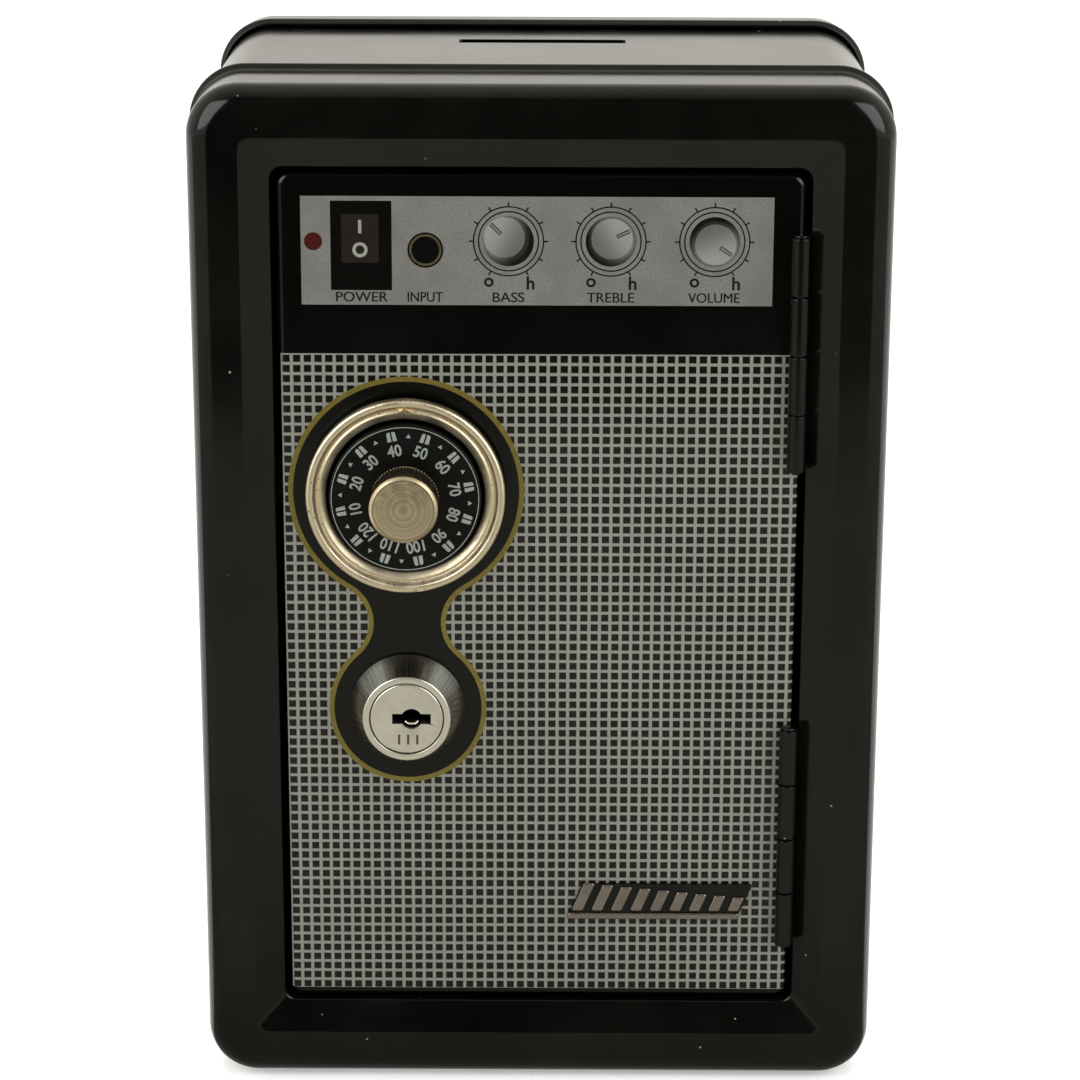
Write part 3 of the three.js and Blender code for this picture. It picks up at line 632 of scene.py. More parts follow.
def door_print():
    """The door's enamel with its print. One gloss lacquer lies over all of it."""
    paint = Paint("door_print", IOR=ENAMEL_IOR)
    x, y, z = paint.axes()
    on_front = paint.math("LESS_THAN", y, DOOR_Y + DOOR_EDGE_ROUND * 0.5)

    def inside(value, low, high):
        return paint.math(
            "MULTIPLY", paint.math("GREATER_THAN", value, low), paint.math("LESS_THAN", value, high)
        )

    def line(value, start, pitch, share):
        """1 on the light line at the end of each pitch, with a soft border."""
        cycle = paint.math("FRACT", paint.math("DIVIDE", paint.math("SUBTRACT", value, start), pitch))
        centred = paint.math("ABSOLUTE", paint.math("SUBTRACT", cycle, 0.5))
        border = 0.5 - share / 2
        return paint.between(centred, border - 0.03, border + 0.03)

    across = line(x, -GRILLE_HALF_WIDTH, GRILLE_PITCH_X, GRILLE_LINE_X)
    up = line(z, GRILLE_HIGH, GRILLE_PITCH_Z, GRILLE_LINE_Z)
    threads = paint.math("MAXIMUM", across, up)
    crossing = paint.math("MULTIPLY", across, up)
    mottle = paint.grain(1.3, detail=3)
    light = paint.mix(paint.math("MULTIPLY", crossing, 0.5), LIGHT_INK, ink(134, 134, 124))
    light = paint.mix(paint.between(mottle, 0.35, 0.7, 0, 0.4), light, ink(128, 128, 118))
    grille = paint.mix(threads, DARK_INK, light)
    in_grille = paint.math(
        "MULTIPLY",
        inside(z, GRILLE_LOW, GRILLE_HIGH),
        inside(x, -GRILLE_HALF_WIDTH, GRILLE_HALF_WIDTH),
    )
    fleck = paint.grain(3.2, detail=5, roughness=0.75)
    cloud = paint.grain(0.14, detail=3)
    silver = paint.mix(paint.between(fleck, 0.3, 0.7), ink(104, 103, 99), ink(136, 135, 130))
    silver = paint.mix(paint.between(cloud, 0.35, 0.7, 0, 0.5), silver, ink(104, 103, 99))
    in_panel = paint.math(
        "MULTIPLY", inside(x, PANEL_LEFT, PANEL_RIGHT), inside(z, PANEL_LOW, PANEL_HIGH)
    )
    ground = paint.mix(paint.math("MULTIPLY", in_grille, on_front), BLACK, grille)
    paint.colour(paint.mix(paint.math("MULTIPLY", in_panel, on_front), ground, silver))
    smears = paint.grain(0.06, detail=4, roughness=0.6)
    paint.rough(paint.between(smears, 0.3, 0.75, 0.09, 0.16))
    paint.bump(paint.math("ADD", paint.grain(0.35, detail=1), paint.math("MULTIPLY", fleck, 0.1)), 0.006)
    return paint.material


ENAMEL = enamel("black_enamel")
HINGE_ENAMEL = enamel("hinge_enamel", gloss=0.14)
DOOR_PRINT = door_print()
# Painted shade: the ring's metal more than 1.3 mm behind its front, its lower outer side and its inner wall,
# is painted dark.
BEZEL_METAL = metal(
    "champagne_bezel", linear(244, 230, 198), linear(204, 186, 154), 0.36, pits=0.9,
    painted_shade_behind=BEZEL_LOW.y + 1.3, bump=0.001,
)
# The knob's side behind its face is painted dark brown as shade.
KNOB_FACE = spun_metal(
    "champagne_knob", DIAL_X, DIAL_Z, linear(214, 198, 166), linear(158, 140, 110), 0.36
)
# Painted shade: the plug's metal more than 1.6 mm behind its face, deep in the keyway, is painted dark.
LOCK_METAL = metal(
    "lock_chrome", linear(236, 233, 219), linear(210, 206, 192), 0.27, streaks=(1, 1, 0.1),
    painted_shade_behind=PLUG_LOW.y + 1.6, bump=0.002,
)
# The cone's colours are darker than its face's: painted shade on the flank, painted light on the face.
LOCK_CONE = cone_metal(
    "lock_cone", LOCK_X, LOCK_Z, linear(180, 180, 173), linear(136, 135, 129), 0.2, 7.7
)
ZINC = metal("zinc_plate", linear(200, 198, 188), linear(150, 150, 138), 0.35)
# Painted shade: the dial keeper's zinc is painted dark for the shade it shows in through the door's gap; its
# roughness is dull.
SHADED_DULL_ZINC = metal("shaded_dull_zinc", linear(62, 62, 58), linear(40, 40, 37), 0.55)
STEEL = metal("spring_steel", linear(170, 170, 168), linear(120, 120, 116), 0.32)
BADGE_CHROME = metal("badge_chrome", linear(150, 140, 134), linear(106, 97, 92), 0.26)
DIAL_BLACK = printed(
    "dial_black", ink(11, 11, 8), ink(15, 15, 12), rough=0.34, fleck=0.002, shine=0.24
)
DIAL_WHITE = printed("dial_white", ink(158, 165, 160), ink(138, 146, 140), rough=0.4)
GOLD_INK = printed("gold_ink", ink(120, 107, 40), ink(104, 90, 32))
BLACK_INK = printed("black_ink", ink(10, 10, 8), ink(13, 13, 10), rough=0.13, shine=0.4)
LABEL_INK = printed("label_ink", ink(26, 25, 22), ink(34, 33, 29))
POINTER_INK = printed("pointer_ink", ink(58, 57, 54), ink(70, 68, 65))
POINTER_LIGHT = printed("pointer_light", ink(128, 127, 121), ink(112, 111, 106))
ROCKER_INK = printed("rocker_ink", ink(38, 33, 27), ink(31, 27, 22))
WHITE_INK = printed("white_ink", ink(158, 158, 150), ink(140, 140, 132))
LAMP_INK = printed("lamp_ink", ink(76, 24, 20), ink(62, 20, 17))
BRASS_INK = printed("brass_ink", ink(84, 78, 52), ink(66, 60, 40))
# Painted shade: flat brown strokes stand in for the punched strokes on the lock's face, coloured as their
# shade.
STROKE_SHADE = printed("stroke_shade", ink(96, 78, 50), ink(72, 58, 38), rough=0.5)


# ---- body shells ----

SHELL_CORNER_STEPS = 14
SHELL_EDGE_STEPS = (18, 26)
WAVE_SIZE = 0.022
WAVE_LENGTH = 38.0
WELD_HEIGHTS = (36, 56, 122, 146)


def corner_at(inset):
    return max(CORNER_RADIUS - inset, OPENING_RADIUS)


def shell_layer(inset, y):
    """One layer of a body shell, inset from the body's outer faces."""
    outline = rectangle(
        HALF_WIDTH - inset, HALF_HEIGHT - inset, corner_at(inset), SHELL_CORNER_STEPS, SHELL_EDGE_STEPS
    )
    return [(x, y, MIDDLE_Z + z) for x, z in outline]


def wavy(solid, size=WAVE_SIZE):
    """Pressed sheet is never quite flat: a slow wave all over, kept inside the body's box."""
    points, faces = solid
    low = [min(values) for values in zip(FRAME_LOW, COVER_LOW)]
    high = [max(values) for values in zip(FRAME_HIGH, COVER_HIGH)]
    waved = []
    for p in points:
        moved = Vector(p) + noise.noise_vector(Vector(p) / WAVE_LENGTH) * size
        waved.append(tuple(min(max(v, a), b) for v, a, b in zip(moved, low, high)))
    return waved, faces


def weld_dents(solid):
    """Shallow dents along the right crease where the hinge leaves are welded behind it."""
    points, faces = solid
    crease_x = HALF_WIDTH - CREASE_INSET
    dented = []
    for x, y, z in points:
        depth = 0.0
        for weld_z in WELD_HEIGHTS:
            away = ((x - crease_x) / 1.3) ** 2 + ((z - weld_z) / 4.5) ** 2
            depth += 0.14 * math.exp(-away) if y < FACE_Y + 3 else 0.0
        dented.append((x, y + depth, z))
    return dented, faces


def front_frame():
    """The front shell: rim, rounded edge, flat band, slope to the opening and the jamb behind it."""
    depth = FRAME_HIGH.y - FACE_Y
    rear = RECESS + JAMB_DEPTH
    slope = math.atan2(RECESS, OPENING_INSET - CREASE_INSET)
    inner_lip = RECESS + SHEET * math.tan((math.pi / 2 - slope) / 2)
    inner_crease = CREASE_INSET - SHEET * math.tan(slope / 2)
    corners = [
        (SHEET, depth, 0.12),
        (-RIM_RISE, depth, 0.7),
        (-RIM_RISE, depth - RIM_WIDTH, 0.8),
        (0, depth - RIM_WIDTH - RIM_RAMP, 1.4),
        (0, 0, FRONT_ROUND),
        (CREASE_INSET, 0, 0.9),
        (OPENING_INSET, RECESS, 0.55),
        (OPENING_INSET, rear, 0.2),
        (OPENING_INSET - SHEET, rear, 0.2),
        (OPENING_INSET - SHEET, inner_lip, 0.1),
        (inner_crease, SHEET, 0.3),
        (SHEET, SHEET, FRONT_ROUND - SHEET),
    ]
    layers = [shell_layer(inset, FACE_Y + y) for inset, y in rounded(corners, steps=8)]
    return weld_dents(wavy(skin(layers, loops=True)))


def body_sleeve():
    """The wrapped sheet between the two shells. Its edges are stepped down to lap inside them."""
    lap = HALF_WIDTH - SLEEVE_HIGH.x
    front, rear = FRAME_HIGH.y, COVER_LOW.y
    corners = [
        (lap, SLEEVE_LOW.y, 0.1),
        (lap, front + 0.1, 0.2),
        (SLEEVE_INSET, front + 0.8, 0.3),
        (SLEEVE_INSET, rear - 0.8, 0.3),
        (lap, rear - 0.1, 0.2),
        (lap, SLEEVE_HIGH.y, 0.1),
        (lap + SHEET, SLEEVE_HIGH.y, 0.1),
        (lap + SHEET, SLEEVE_LOW.y, 0.1),
    ]
    section = rounded(corners, steps=3)
    filled = []
    for i, point in enumerate(section):
        filled.append(point)
        after = section[(i + 1) % len(section)]
        if abs(after[1] - point[1]) > 10:
            filled += [tuple(Vector(point).lerp(Vector(after), k / 16)) for k in range(1, 16)]
    return wavy(skin([shell_layer(a, y) for a, y in filled], loops=True), WAVE_SIZE * 0.6)


def back_cover():
    """The rear shell, closed by its flat back."""
    back = COVER_HIGH.y
    front = COVER_LOW.y

    centre = (REAR_ROUND - COVER_RISE, back - REAR_ROUND)
    outer = arc(centre, REAR_ROUND, math.pi, math.pi / 2, 10)
    inner = arc(centre, REAR_ROUND - SHEET, math.pi, math.pi / 2, 10)
    rim = rounded(
        [
            (SHEET - COVER_RISE, front + 3, 0),
            (SHEET - COVER_RISE, front, 0.12),
            (-RIM_RISE * 0.2, front, 0.3),
            (-RIM_RISE, front + RIM_WIDTH * 0.6, 1.2),
            (-RIM_RISE, front + RIM_WIDTH, 0.6),
            (-COVER_RISE, front + RIM_WIDTH + RIM_RAMP / 2, 0.8),
            (-COVER_RISE, front + RIM_WIDTH + RIM_RAMP + 2, 0),
        ],
        steps=6,
    )
    flat = [(12, back), (24, back), (36, back), (48, back)]
    flat_inner = [(inset, back - SHEET) for inset, _ in reversed(flat)]
    profile = [*flat_inner, *reversed(inner), *rim, *outer, *flat]
    layers = [shell_layer(inset, y) for inset, y in profile]
    return wavy(skin(layers))


COIN_SLOT_LENGTH = 30.5
COIN_SLOT_WIDTH = 4.4
COIN_SLOT_FROM_COVER = 16.7


def make_body():
    piece("front_frame_shell", front_frame(), ENAMEL, "body", ["front_frame"])
    sleeve = piece("body_sleeve_shell", body_sleeve(), ENAMEL, "body", ["body_sleeve"])
    slot_y = COVER_LOW.y - COIN_SLOT_FROM_COVER
    outline = rectangle(COIN_SLOT_LENGTH / 2, COIN_SLOT_WIDTH / 2, 0.5, 4)
    layers = [[(x, slot_y + y, z) for x, y in outline] for z in (SLEEVE_HIGH.z - 5, SLEEVE_HIGH.z + 5)]
    carve(sleeve, skin(layers), bevel=0.12)
    piece("back_cover_shell", back_cover(), ENAMEL, "body", ["back_cover"])


# ---- door ----

DOOR_DEPTH = DOOR_HIGH.y - DOOR_LOW.y
HINGE_LENGTH = 41.0
KNUCKLES = 4
KNUCKLE_GAP = 0.3
KNUCKLE_RADIUS = 1.65
PIN_RADIUS = 0.8
RUNNING = 0.2
LEAF = 0.5
LEAF_REAR = DOOR_Y + DOOR_DEPTH - 0.4
HINGES = [(side, sum(corner.z for corner in box(f"{side}_hinge_pin")) / 2) for side in ("upper", "lower")]
HINGE_LEFT = DOOR_HALF_WIDTH - SHEET - 0.1 - LEAF
POST_HOLE_RADIUS = 4.0
BARREL_HOLE_RADIUS = 8.2


def knuckle_spans():
    """The knuckles' [low, high] from the hinge's middle, the top one first."""
    length = (HINGE_LENGTH - (KNUCKLES - 1) * KNUCKLE_GAP) / KNUCKLES
    tops = [HINGE_LENGTH / 2 - i * (length + KNUCKLE_GAP) for i in range(KNUCKLES)]
    return [(top - length, top) for top in tops]


def door_panel():
    """The pressed door pan."""
    round_ = DOOR_EDGE_ROUND
    corners = [
        (round_ + 1, SHEET, 0),
        (SHEET, SHEET, round_ - SHEET),
        (SHEET, DOOR_DEPTH, 0.15),
        (0, DOOR_DEPTH, 0.15),
        (0, 0, round_),
        (round_ + 1, 0, 0),
    ]
    layers = []
    for inset, y in rounded(corners, steps=6):
        radius = max(OPENING_RADIUS - inset, 0.2)
        outline = rectangle(DOOR_HALF_WIDTH - inset, DOOR_HALF_HEIGHT - inset, radius, 8)
        layers.append([(px, DOOR_Y + y, MIDDLE_Z + pz) for px, pz in outline])
    return skin(layers)


def door_cuts():
    """The holes for the dial's post and the lock, and the slots for the hinges' knuckles."""
    front, rear = DOOR_Y - 1, DOOR_Y + 2
    cuts = [
        prism(circle(x, z, radius), front, rear)
        for x, z, radius in ((DIAL_X, DIAL_Z, POST_HOLE_RADIUS), (LOCK_X, LOCK_Z, BARREL_HOLE_RADIUS))
    ]
    for _, middle in HINGES:
        for low, high in knuckle_spans()[1::2]:
            cuts.append(block(
                (HINGE_LEFT - RUNNING, front, middle + low - RUNNING),
                (HINGE_LEFT + LEAF + 0.1, DOOR_Y + DOOR_EDGE_ROUND, middle + high + RUNNING),
            ))
    return cuts


def knuckle(low, high, seam):
    """A rolled knuckle from low to high on the pin's axis, with a seam where the sheet ends."""
    edge = 0.18
    inner = PIN_RADIUS + RUNNING
    start, end = seam + 0.12, seam + 2 * math.pi - 0.12
    steps = 44
    layers = []
    heights = [(low, edge), (low + edge * 0.3, edge * 0.3), (low + edge, 0)]
    heights += [(high - edge, 0), (high - edge * 0.3, edge * 0.3), (high, edge)]
    for z, shrink in heights:
        outer_arc = arc((PIN_X, PIN_Y), KNUCKLE_RADIUS - shrink, start, end, steps)
        inner_arc = arc((PIN_X, PIN_Y), inner, end, start, steps)
        layers.append([(x, y, z) for x, y in outer_arc + inner_arc])
    return skin(layers)


def hinge_leaves():
    right = PIN_X + KNUCKLE_RADIUS
    behind = DOOR_Y + DOOR_EDGE_ROUND + 0.1
    half = HINGE_LENGTH / 2
    for name, middle in HINGES:
        spans = [(middle + low, middle + high) for low, high in knuckle_spans()]
        fixed, moving = spans[0::2], spans[1::2]
        parts = [knuckle(low, high, math.radians(70)) for low, high in fixed]
        parts += [block((right - LEAF, PIN_Y + 0.2, low), (right, LEAF_REAR, high)) for low, high in fixed]
        for low, high in moving:
            parts.append(block((right - LEAF, DOOR_Y, low - KNUCKLE_GAP), (right, LEAF_REAR, high)))
        piece(
            f"{name}_hinge_frame_side", together(*parts), HINGE_ENAMEL, "body",
            [f"{name}_hinge_frame_leaf"],
        )
        edge = HINGE_LEFT + LEAF
        parts = [knuckle(low, high, math.radians(112)) for low, high in moving]
        parts += [block((HINGE_LEFT, PIN_Y + 1.2, low), (edge, LEAF_REAR, high)) for low, high in moving]
        for i, (low, high) in enumerate(fixed):
            bottom = low - KNUCKLE_GAP if i == 0 else low
            parts.append(block((HINGE_LEFT, behind, bottom), (edge, LEAF_REAR, high)))
        piece(
            f"{name}_hinge_door_side", together(*parts), HINGE_ENAMEL, "door",
            [f"{name}_hinge_door_leaf"],
        )
        profile = [
            (0, -half - 0.5, 0),
            (PIN_RADIUS, -half - 0.5, 0.2),
            (PIN_RADIUS, half + 0.1, 0),
            (1.3, half + 0.1, 0.05),
            (1.3, half + 0.5, 0.3),
            (0, half + 0.5, 0),
        ]
        pin = upright(turned(rounded(profile, 3), 0, 0, 32), PIN_X, PIN_Y, middle)
        piece(f"{name}_hinge_rivet", pin, HINGE_ENAMEL, "body", [f"{name}_hinge_pin"])


# ---- prints on the door, thin enough to lie under the dial's ring ----

LAYER_1 = DOOR_Y - INK
LAYER_2 = LAYER_1 - INK
LAYER_3 = LAYER_2 - INK


def keyhole_outline(shrink, steps=48):
    """The outline round dial and lock: two circles joined by a necked stretch, all in tangent arcs."""
    upper, lower, neck = 20.5, 13.9, 6.77
    apart = DIAL_Z - LOCK_Z
    blend = 1.0
    for _ in range(60):
        drop = (apart + (upper - lower) * (upper + lower + 2 * blend) / apart) / 2
        error = (neck + blend) ** 2 + drop**2 - (upper + blend) ** 2
        blend += error / (2 * (upper - neck))
    centre = (DIAL_X + neck + blend, DIAL_Z - drop)
    top = math.atan2(DIAL_Z - centre[1], DIAL_X - centre[0])
    bottom = math.atan2(LOCK_Z - centre[1], LOCK_X - centre[0]) % (2 * math.pi)
    right = arc((LOCK_X, LOCK_Z), lower - shrink, -math.pi / 2, bottom - math.pi, steps)
    right += arc(centre, blend + shrink, bottom, top, steps // 2)[1:]
    right += arc((DIAL_X, DIAL_Z), upper - shrink, top - math.pi, math.pi / 2, steps)[1:]
    left = [(2 * DIAL_X - x, z) for x, z in reversed(right)]
    return right + left[1:-1]


def ring_plate(outer, inner, front, rear):
    """A flat closed strip between two outlines of equally many points."""
    loops = ((outer, rear), (outer, front), (inner, front), (inner, rear))
    return skin([[(x, y, z) for x, z in loop] for loop, y in loops], loops=True)


def make_outline_print():
    gold_width = 0.87
    outer, inner = keyhole_outline(0), keyhole_outline(gold_width)
    door_print_piece("print_gold_outline", ring_plate(outer, inner, LAYER_2, DOOR_Y), GOLD_INK)
    holes = [circle(DIAL_X, DIAL_Z, 8), circle(LOCK_X, LOCK_Z, 8.6)]
    door_print_piece("print_black_field", plate(inner, LAYER_1, DOOR_Y, holes=holes), BLACK_INK)


SWITCH = (-35.75, -25.34, 146.76, 162.18)
ROCKER = (-33.92, -27.56, 151.53, 159.9)
LAMP_X, LAMP_Z, LAMP_RADIUS = -38.69, 155.18, 1.55
JACK_X, JACK_Z = -19.63, 153.74
LABEL_Z = 145.6
LABEL_HEIGHT = 1.7
LABEL_SPREAD = 0.03
KNOB_PRINT_Z = 155.3
KNOB_PRINT_RADIUS = 4.3
SCALE_CIRCLES = ((5.83, 6.07), (4.98, 5.22))


def panel_word(text, x, squeeze):
    """A word of the panel, struck twice and a little apart: the font's own thickening spoils the M."""
    strikes = ((-LABEL_SPREAD, LAYER_1), (LABEL_SPREAD, LAYER_1 - INK / 5))
    return together(*(
        lettering(text, LABEL_HEIGHT, x + shift, LABEL_Z, front, squeeze=squeeze, weight=0.0)
        for shift, front in strikes
    ))


def spoke(x, z, angle, start, end, width):
    """A straight stroke's outline that points away from x and z."""
    ends = [(x + r * math.cos(angle), z + r * math.sin(angle)) for r in (start, end)]
    return bar_shape(*ends, width)


def shaded(name, x, z, radius, toward, dark, light, rough=0.3):
    """A printed disc shaded from light to dark in one direction, as a picture of a turned part is."""
    paint = Paint(name, IOR=ENAMEL_IOR)
    px, _, pz = paint.axes(paint.away(x, 0, z))
    along = paint.math(
        "ADD",
        paint.math("MULTIPLY", px, math.cos(toward) / radius),
        paint.math("MULTIPLY", pz, math.sin(toward) / radius),
    )
    mottle = paint.math("MULTIPLY", paint.math("SUBTRACT", paint.grain(1.8, detail=4), 0.5), 0.35)
    share = paint.between(paint.math("ADD", along, mottle), -0.75, 0.8)
    paint.colour(paint.mix(share, light, dark))
    paint.rough(paint.between(paint.grain(0.2), 0.3, 0.7, rough * 0.8, rough * 1.2))
    return paint.material


def printed_knob(name, x, cap_shift, dark_side, pointer, squeeze):
    """The picture of a control knob: scale, two circles, a shaded body, its cap and a pointer."""
    z = KNOB_PRINT_Z
    lines = [band(x, z, inner, outer, LAYER_1, DOOR_Y) for inner, outer in SCALE_CIRCLES]
    for step in range(-5, 6):
        lines.append(plate(spoke(x, z, math.radians(90 - 30 * step), 5.95, 6.75, 0.26), LAYER_1, DOOR_Y))
    lines.append(lettering("o", 1.6, x - 3.35, z - 7.1, LAYER_1))
    lines.append(lettering("h", 2.3, x + 3.75, z - 7.2, LAYER_1))
    lines.append(panel_word(name.upper(), x, squeeze))
    door_print_piece(f"print_{name}_lines", together(*lines), LABEL_INK)

    side_x, side_z = x + cap_shift[0] * 0.55, z + cap_shift[1] * 0.55
    cap_x, cap_z = x + cap_shift[0], z + cap_shift[1]
    body_ink = shaded(
        f"{name}_body_ink", x, z, KNOB_PRINT_RADIUS, dark_side, ink(10, 10, 9), ink(86, 84, 80)
    )
    side_ink = shaded(
        f"{name}_side_ink", side_x, side_z, 4.0, dark_side, ink(38, 37, 34), ink(112, 110, 105)
    )
    cap_ink = shaded(f"{name}_cap_ink", cap_x, cap_z, 3.6, dark_side, ink(98, 97, 92), ink(142, 141, 136))
    core = LAYER_3 - INK
    for part, outline, front, rear, material in (
        ("body", circle(x, z, KNOB_PRINT_RADIUS), LAYER_1, DOOR_Y, body_ink),
        ("side", circle(side_x, side_z, 3.85), LAYER_2, LAYER_1, side_ink),
        ("cap", circle(cap_x, cap_z, 3.5), LAYER_3, LAYER_2, cap_ink),
        ("pointer", spoke(cap_x, cap_z, pointer, 0.9, 3.3, 0.72), core, LAYER_3, POINTER_INK),
        ("pointer_core", spoke(cap_x, cap_z, pointer, 1.05, 3.2, 0.3), core - INK, core, POINTER_LIGHT),
    ):
        door_print_piece(f"print_{name}_{part}", plate(outline, front, rear), material)


def make_panel_prints():
    door_print_piece("print_switch_plate", plate(corners_of(*SWITCH), LAYER_1, DOOR_Y), BLACK_INK)
    door_print_piece("print_switch_rocker", plate(corners_of(*ROCKER), LAYER_2, LAYER_1), ROCKER_INK)
    middle_x = (ROCKER[0] + ROCKER[1]) / 2
    stroke = plate(bar_shape((middle_x, 156.6), (middle_x, 158.9), 0.55), LAYER_3, LAYER_2)
    ring = band(middle_x, 153.75, 0.75, 1.3, LAYER_3, LAYER_2, 40)
    door_print_piece("print_switch_marks", together(stroke, ring), WHITE_INK)
    door_print_piece("print_lamp", plate(circle(LAMP_X, LAMP_Z, LAMP_RADIUS, 40), LAYER_1, DOOR_Y), LAMP_INK)
    rim, brass, hole = [
        band(JACK_X, JACK_Z, inner, outer, LAYER_1, DOOR_Y, 64)
        for inner, outer in ((2.75, 3.05), (2.35, 2.75), (0.0, 2.35))
    ]
    door_print_piece("print_jack_dark", together(rim, hole), BLACK_INK)
    door_print_piece("print_jack_ring", brass, BRASS_INK)
    words = [("POWER", -30.5, 1.06), ("INPUT", -19.7, 0.88)]
    door_print_piece("print_panel_labels", together(*(panel_word(*word) for word in words)), LABEL_INK)
    printed_knob("bass", -5.49, (-0.7, 0.65), math.radians(-30), math.radians(135), 1.08)
    printed_knob("treble", 11.91, (0.15, 0.45), math.radians(215), math.radians(25), 1.0)
    printed_knob("volume", 29.53, (0.15, -0.45), math.radians(110), math.radians(-33), 0.93)


def make_door():
    pan = piece("door_pan", door_panel(), DOOR_PRINT, "door", ["door_panel"])
    carve(pan, *door_cuts(), bevel=0.08)
    hinge_leaves()
    make_outline_print()
    make_panel_prints()
    make_badge()


# ---- badge: a plain ornament of slanted bars on a dark backing ----


BADGE_BARS = 9
BADGE_SLANT = 3.0 / 7.0


def make_badge():
    low, high = box("name_badge")
    front, rear = low.y, high.y
    middle = (front + rear) / 2
    room = high.x - low.x - 3.4

    def bar(left, width, bottom, top):
        ends = ((left, bottom), (left + width, bottom), (left + width, top), (left, top))
        return rounded([(x + (z - low.z) * BADGE_SLANT, z, 0.35) for x, z in ends], 3)

    backing = plate(bar(low.x + 0.2, room, low.z + 0.3, high.z - 0.3), middle, rear, edge=0.1)
    piece("badge_backing", backing, BLACK_INK, "door", ["name_badge"])
    bars = []
    for i in range(BADGE_BARS):
        share = i / (BADGE_BARS - 1)
        left = low.x + 0.35 + share * (room - 2.6)
        top = high.z - 0.1 - share * 2.6
        bars.append(plate(bar(left, 2.1, low.z + 1.6, top), front, middle, edge=0.25))
    bars.append(plate(bar(low.x + 0.1, room + 0.2, low.z, low.z + 1.2), front, middle, edge=0.25))
    piece("badge_bars", together(*bars), BADGE_CHROME, "door")


# ---- dial ----


def height_profile(corners, steps=ARC_STEPS):
    """A turned profile from (radius, height above the door's front, rounding)."""
    return [(r, DOOR_Y - h) for r, h in rounded(corners, steps)]


def make_bezel():
    corners = [
        (4.0, 0.1, 0),
        (17.25, 0.1, 0.1),
        (17.25, 4.15, 1.15),
        (16.1, 4.1, 0.6),
        (15.35, 3.2, 0.25),
        (14.95, 3.5, 0.2),
        (13.7, 2.9, 0.35),
        (13.7, 0.7, 0.1),
        (4.0, 0.7, 0),
    ]
    ring = turned(height_profile(corners, 7), DIAL_X, DIAL_Z)
    half_outline = [(1.5, 14.1, 3.15), (1.5, 14.85, 3.5), (0.45, 15.3, 3.75), (0.05, 15.95, 3.95)]
    outline = half_outline + [(-x, r, h) for x, r, h in reversed(half_outline)]
    mark = [
        [(DIAL_X + x, DOOR_Y - h, DIAL_Z + r) for x, r, h in outline],
        [(DIAL_X + x, DOOR_Y - 2.8, DIAL_Z + r) for x, r, _ in outline],
    ]
    metal_parts = together(ring, skin(mark))
    piece("dial_ring", metal_parts, BEZEL_METAL, "door", ["dial_bezel"])
    line = []
    for low, high in ((3.28, 3.89), (3.0, 3.5)):
        corners = ((-0.07, 14.3, low), (0.07, 14.3, low), (0.05, 15.7, high), (-0.05, 15.7, high))
        line.append([(DIAL_X + x, DOOR_Y - h, DIAL_Z + r) for x, r, h in corners])
    piece("dial_ring_line", skin(line), BLACK_INK, "door")


NUMERALS = 12
NUMERAL_RADIUS = 8.75
NUMERAL_HEIGHT = 2.1
FIRST_NUMERAL_TURN = math.radians(-101.5)
TRIANGLE_RADIUS = 11.2
TICK = ((10.45, 0.14, 0), (10.45, 0.84, 0.05), (12.1, 0.74, 0.5), (12.1, 0.14, 0))


def dial_directions(turn):
    """Outwards and clockwise on the dial at a clockwise turn from its top."""
    return Vector((math.sin(turn), math.cos(turn))), Vector((math.cos(turn), -math.sin(turn)))


def make_dial():
    face = DOOR_Y - DIAL_LOW.y
    rear = DOOR_Y - DIAL_HIGH.y
    radius = DIAL_HIGH.x - DIAL_X
    corners = [(2.5, face, 0), (radius, face, 0.35), (radius, rear, 0.2), (2.5, rear, 0)]
    piece(
        "dial_plate", turned(height_profile(corners), DIAL_X, DIAL_Z), DIAL_BLACK, "dial",
        ["dial_disc"],
    )
    surface = DIAL_LOW.y
    front = surface - INK
    centre = Vector((DIAL_X, DIAL_Z))
    marks = [band(DIAL_X, DIAL_Z, 12.66, 12.79, front, surface, 120)]
    for i in range(NUMERALS):
        turn = FIRST_NUMERAL_TURN + i * 2 * math.pi / NUMERALS
        x = DIAL_X + NUMERAL_RADIUS * math.sin(turn)
        z = DIAL_Z + NUMERAL_RADIUS * math.cos(turn)
        marks.append(lettering(str(10 * (i + 1)), NUMERAL_HEIGHT, x, z, front, turn, squeeze=0.86))
        out, across = dial_directions(turn)
        for side in (-1, 1):
            corners = [(*(centre + out * r + across * side * a), edge) for r, a, edge in TICK]
            marks.append(plate(rounded(corners, 4), front, surface))
        out, across = dial_directions(turn + math.pi / NUMERALS)
        middle = centre + out * TRIANGLE_RADIUS
        foot = middle - out * 0.3
        triangle = [middle + out * 0.4, foot - across * 0.42, foot + across * 0.42]
        marks.append(plate([tuple(p) for p in triangle], front, surface))
    piece("dial_marks", together(*marks), DIAL_WHITE, "dial")


KNOB_RADIUS = 5.9
KNURLS = 64


def make_knob():
    front = DOOR_Y - KNOB_LOW.y
    rear = DOOR_Y - KNOB_HIGH.y
    radius = KNOB_RADIUS
    side = [
        (0, front, 0),
        (radius - 0.5, front, 0.12),
        (radius, front - 0.5, 0.12),
        (radius, rear, 0.15),
        (2.5, rear, 0),
        (2.5, front - 2, 0),
        (0, front - 2, 0),
    ]
    profile = []
    for r, y in height_profile(side, 3):
        toothed = 1.0 if r > radius - 0.2 and front - 0.65 > DOOR_Y - y > rear + 0.1 else 0.0
        profile.append((r, y, toothed))
    knob = turned(profile, DIAL_X, DIAL_Z, 6 * KNURLS, teeth=KNURLS, depth=0.3)
    piece("dial_grip", knob, KNOB_FACE, "dial", ["dial_knob"])


# ---- lock ----


KEYWAY_SHIFT = 0.85
KEYWAY_DEPTH = 8.0
KEYWAY_HALF_WIDTH, KEYWAY_HALF_HEIGHT = 3.4, 0.92
KEYWAY_RADIUS = 1.87


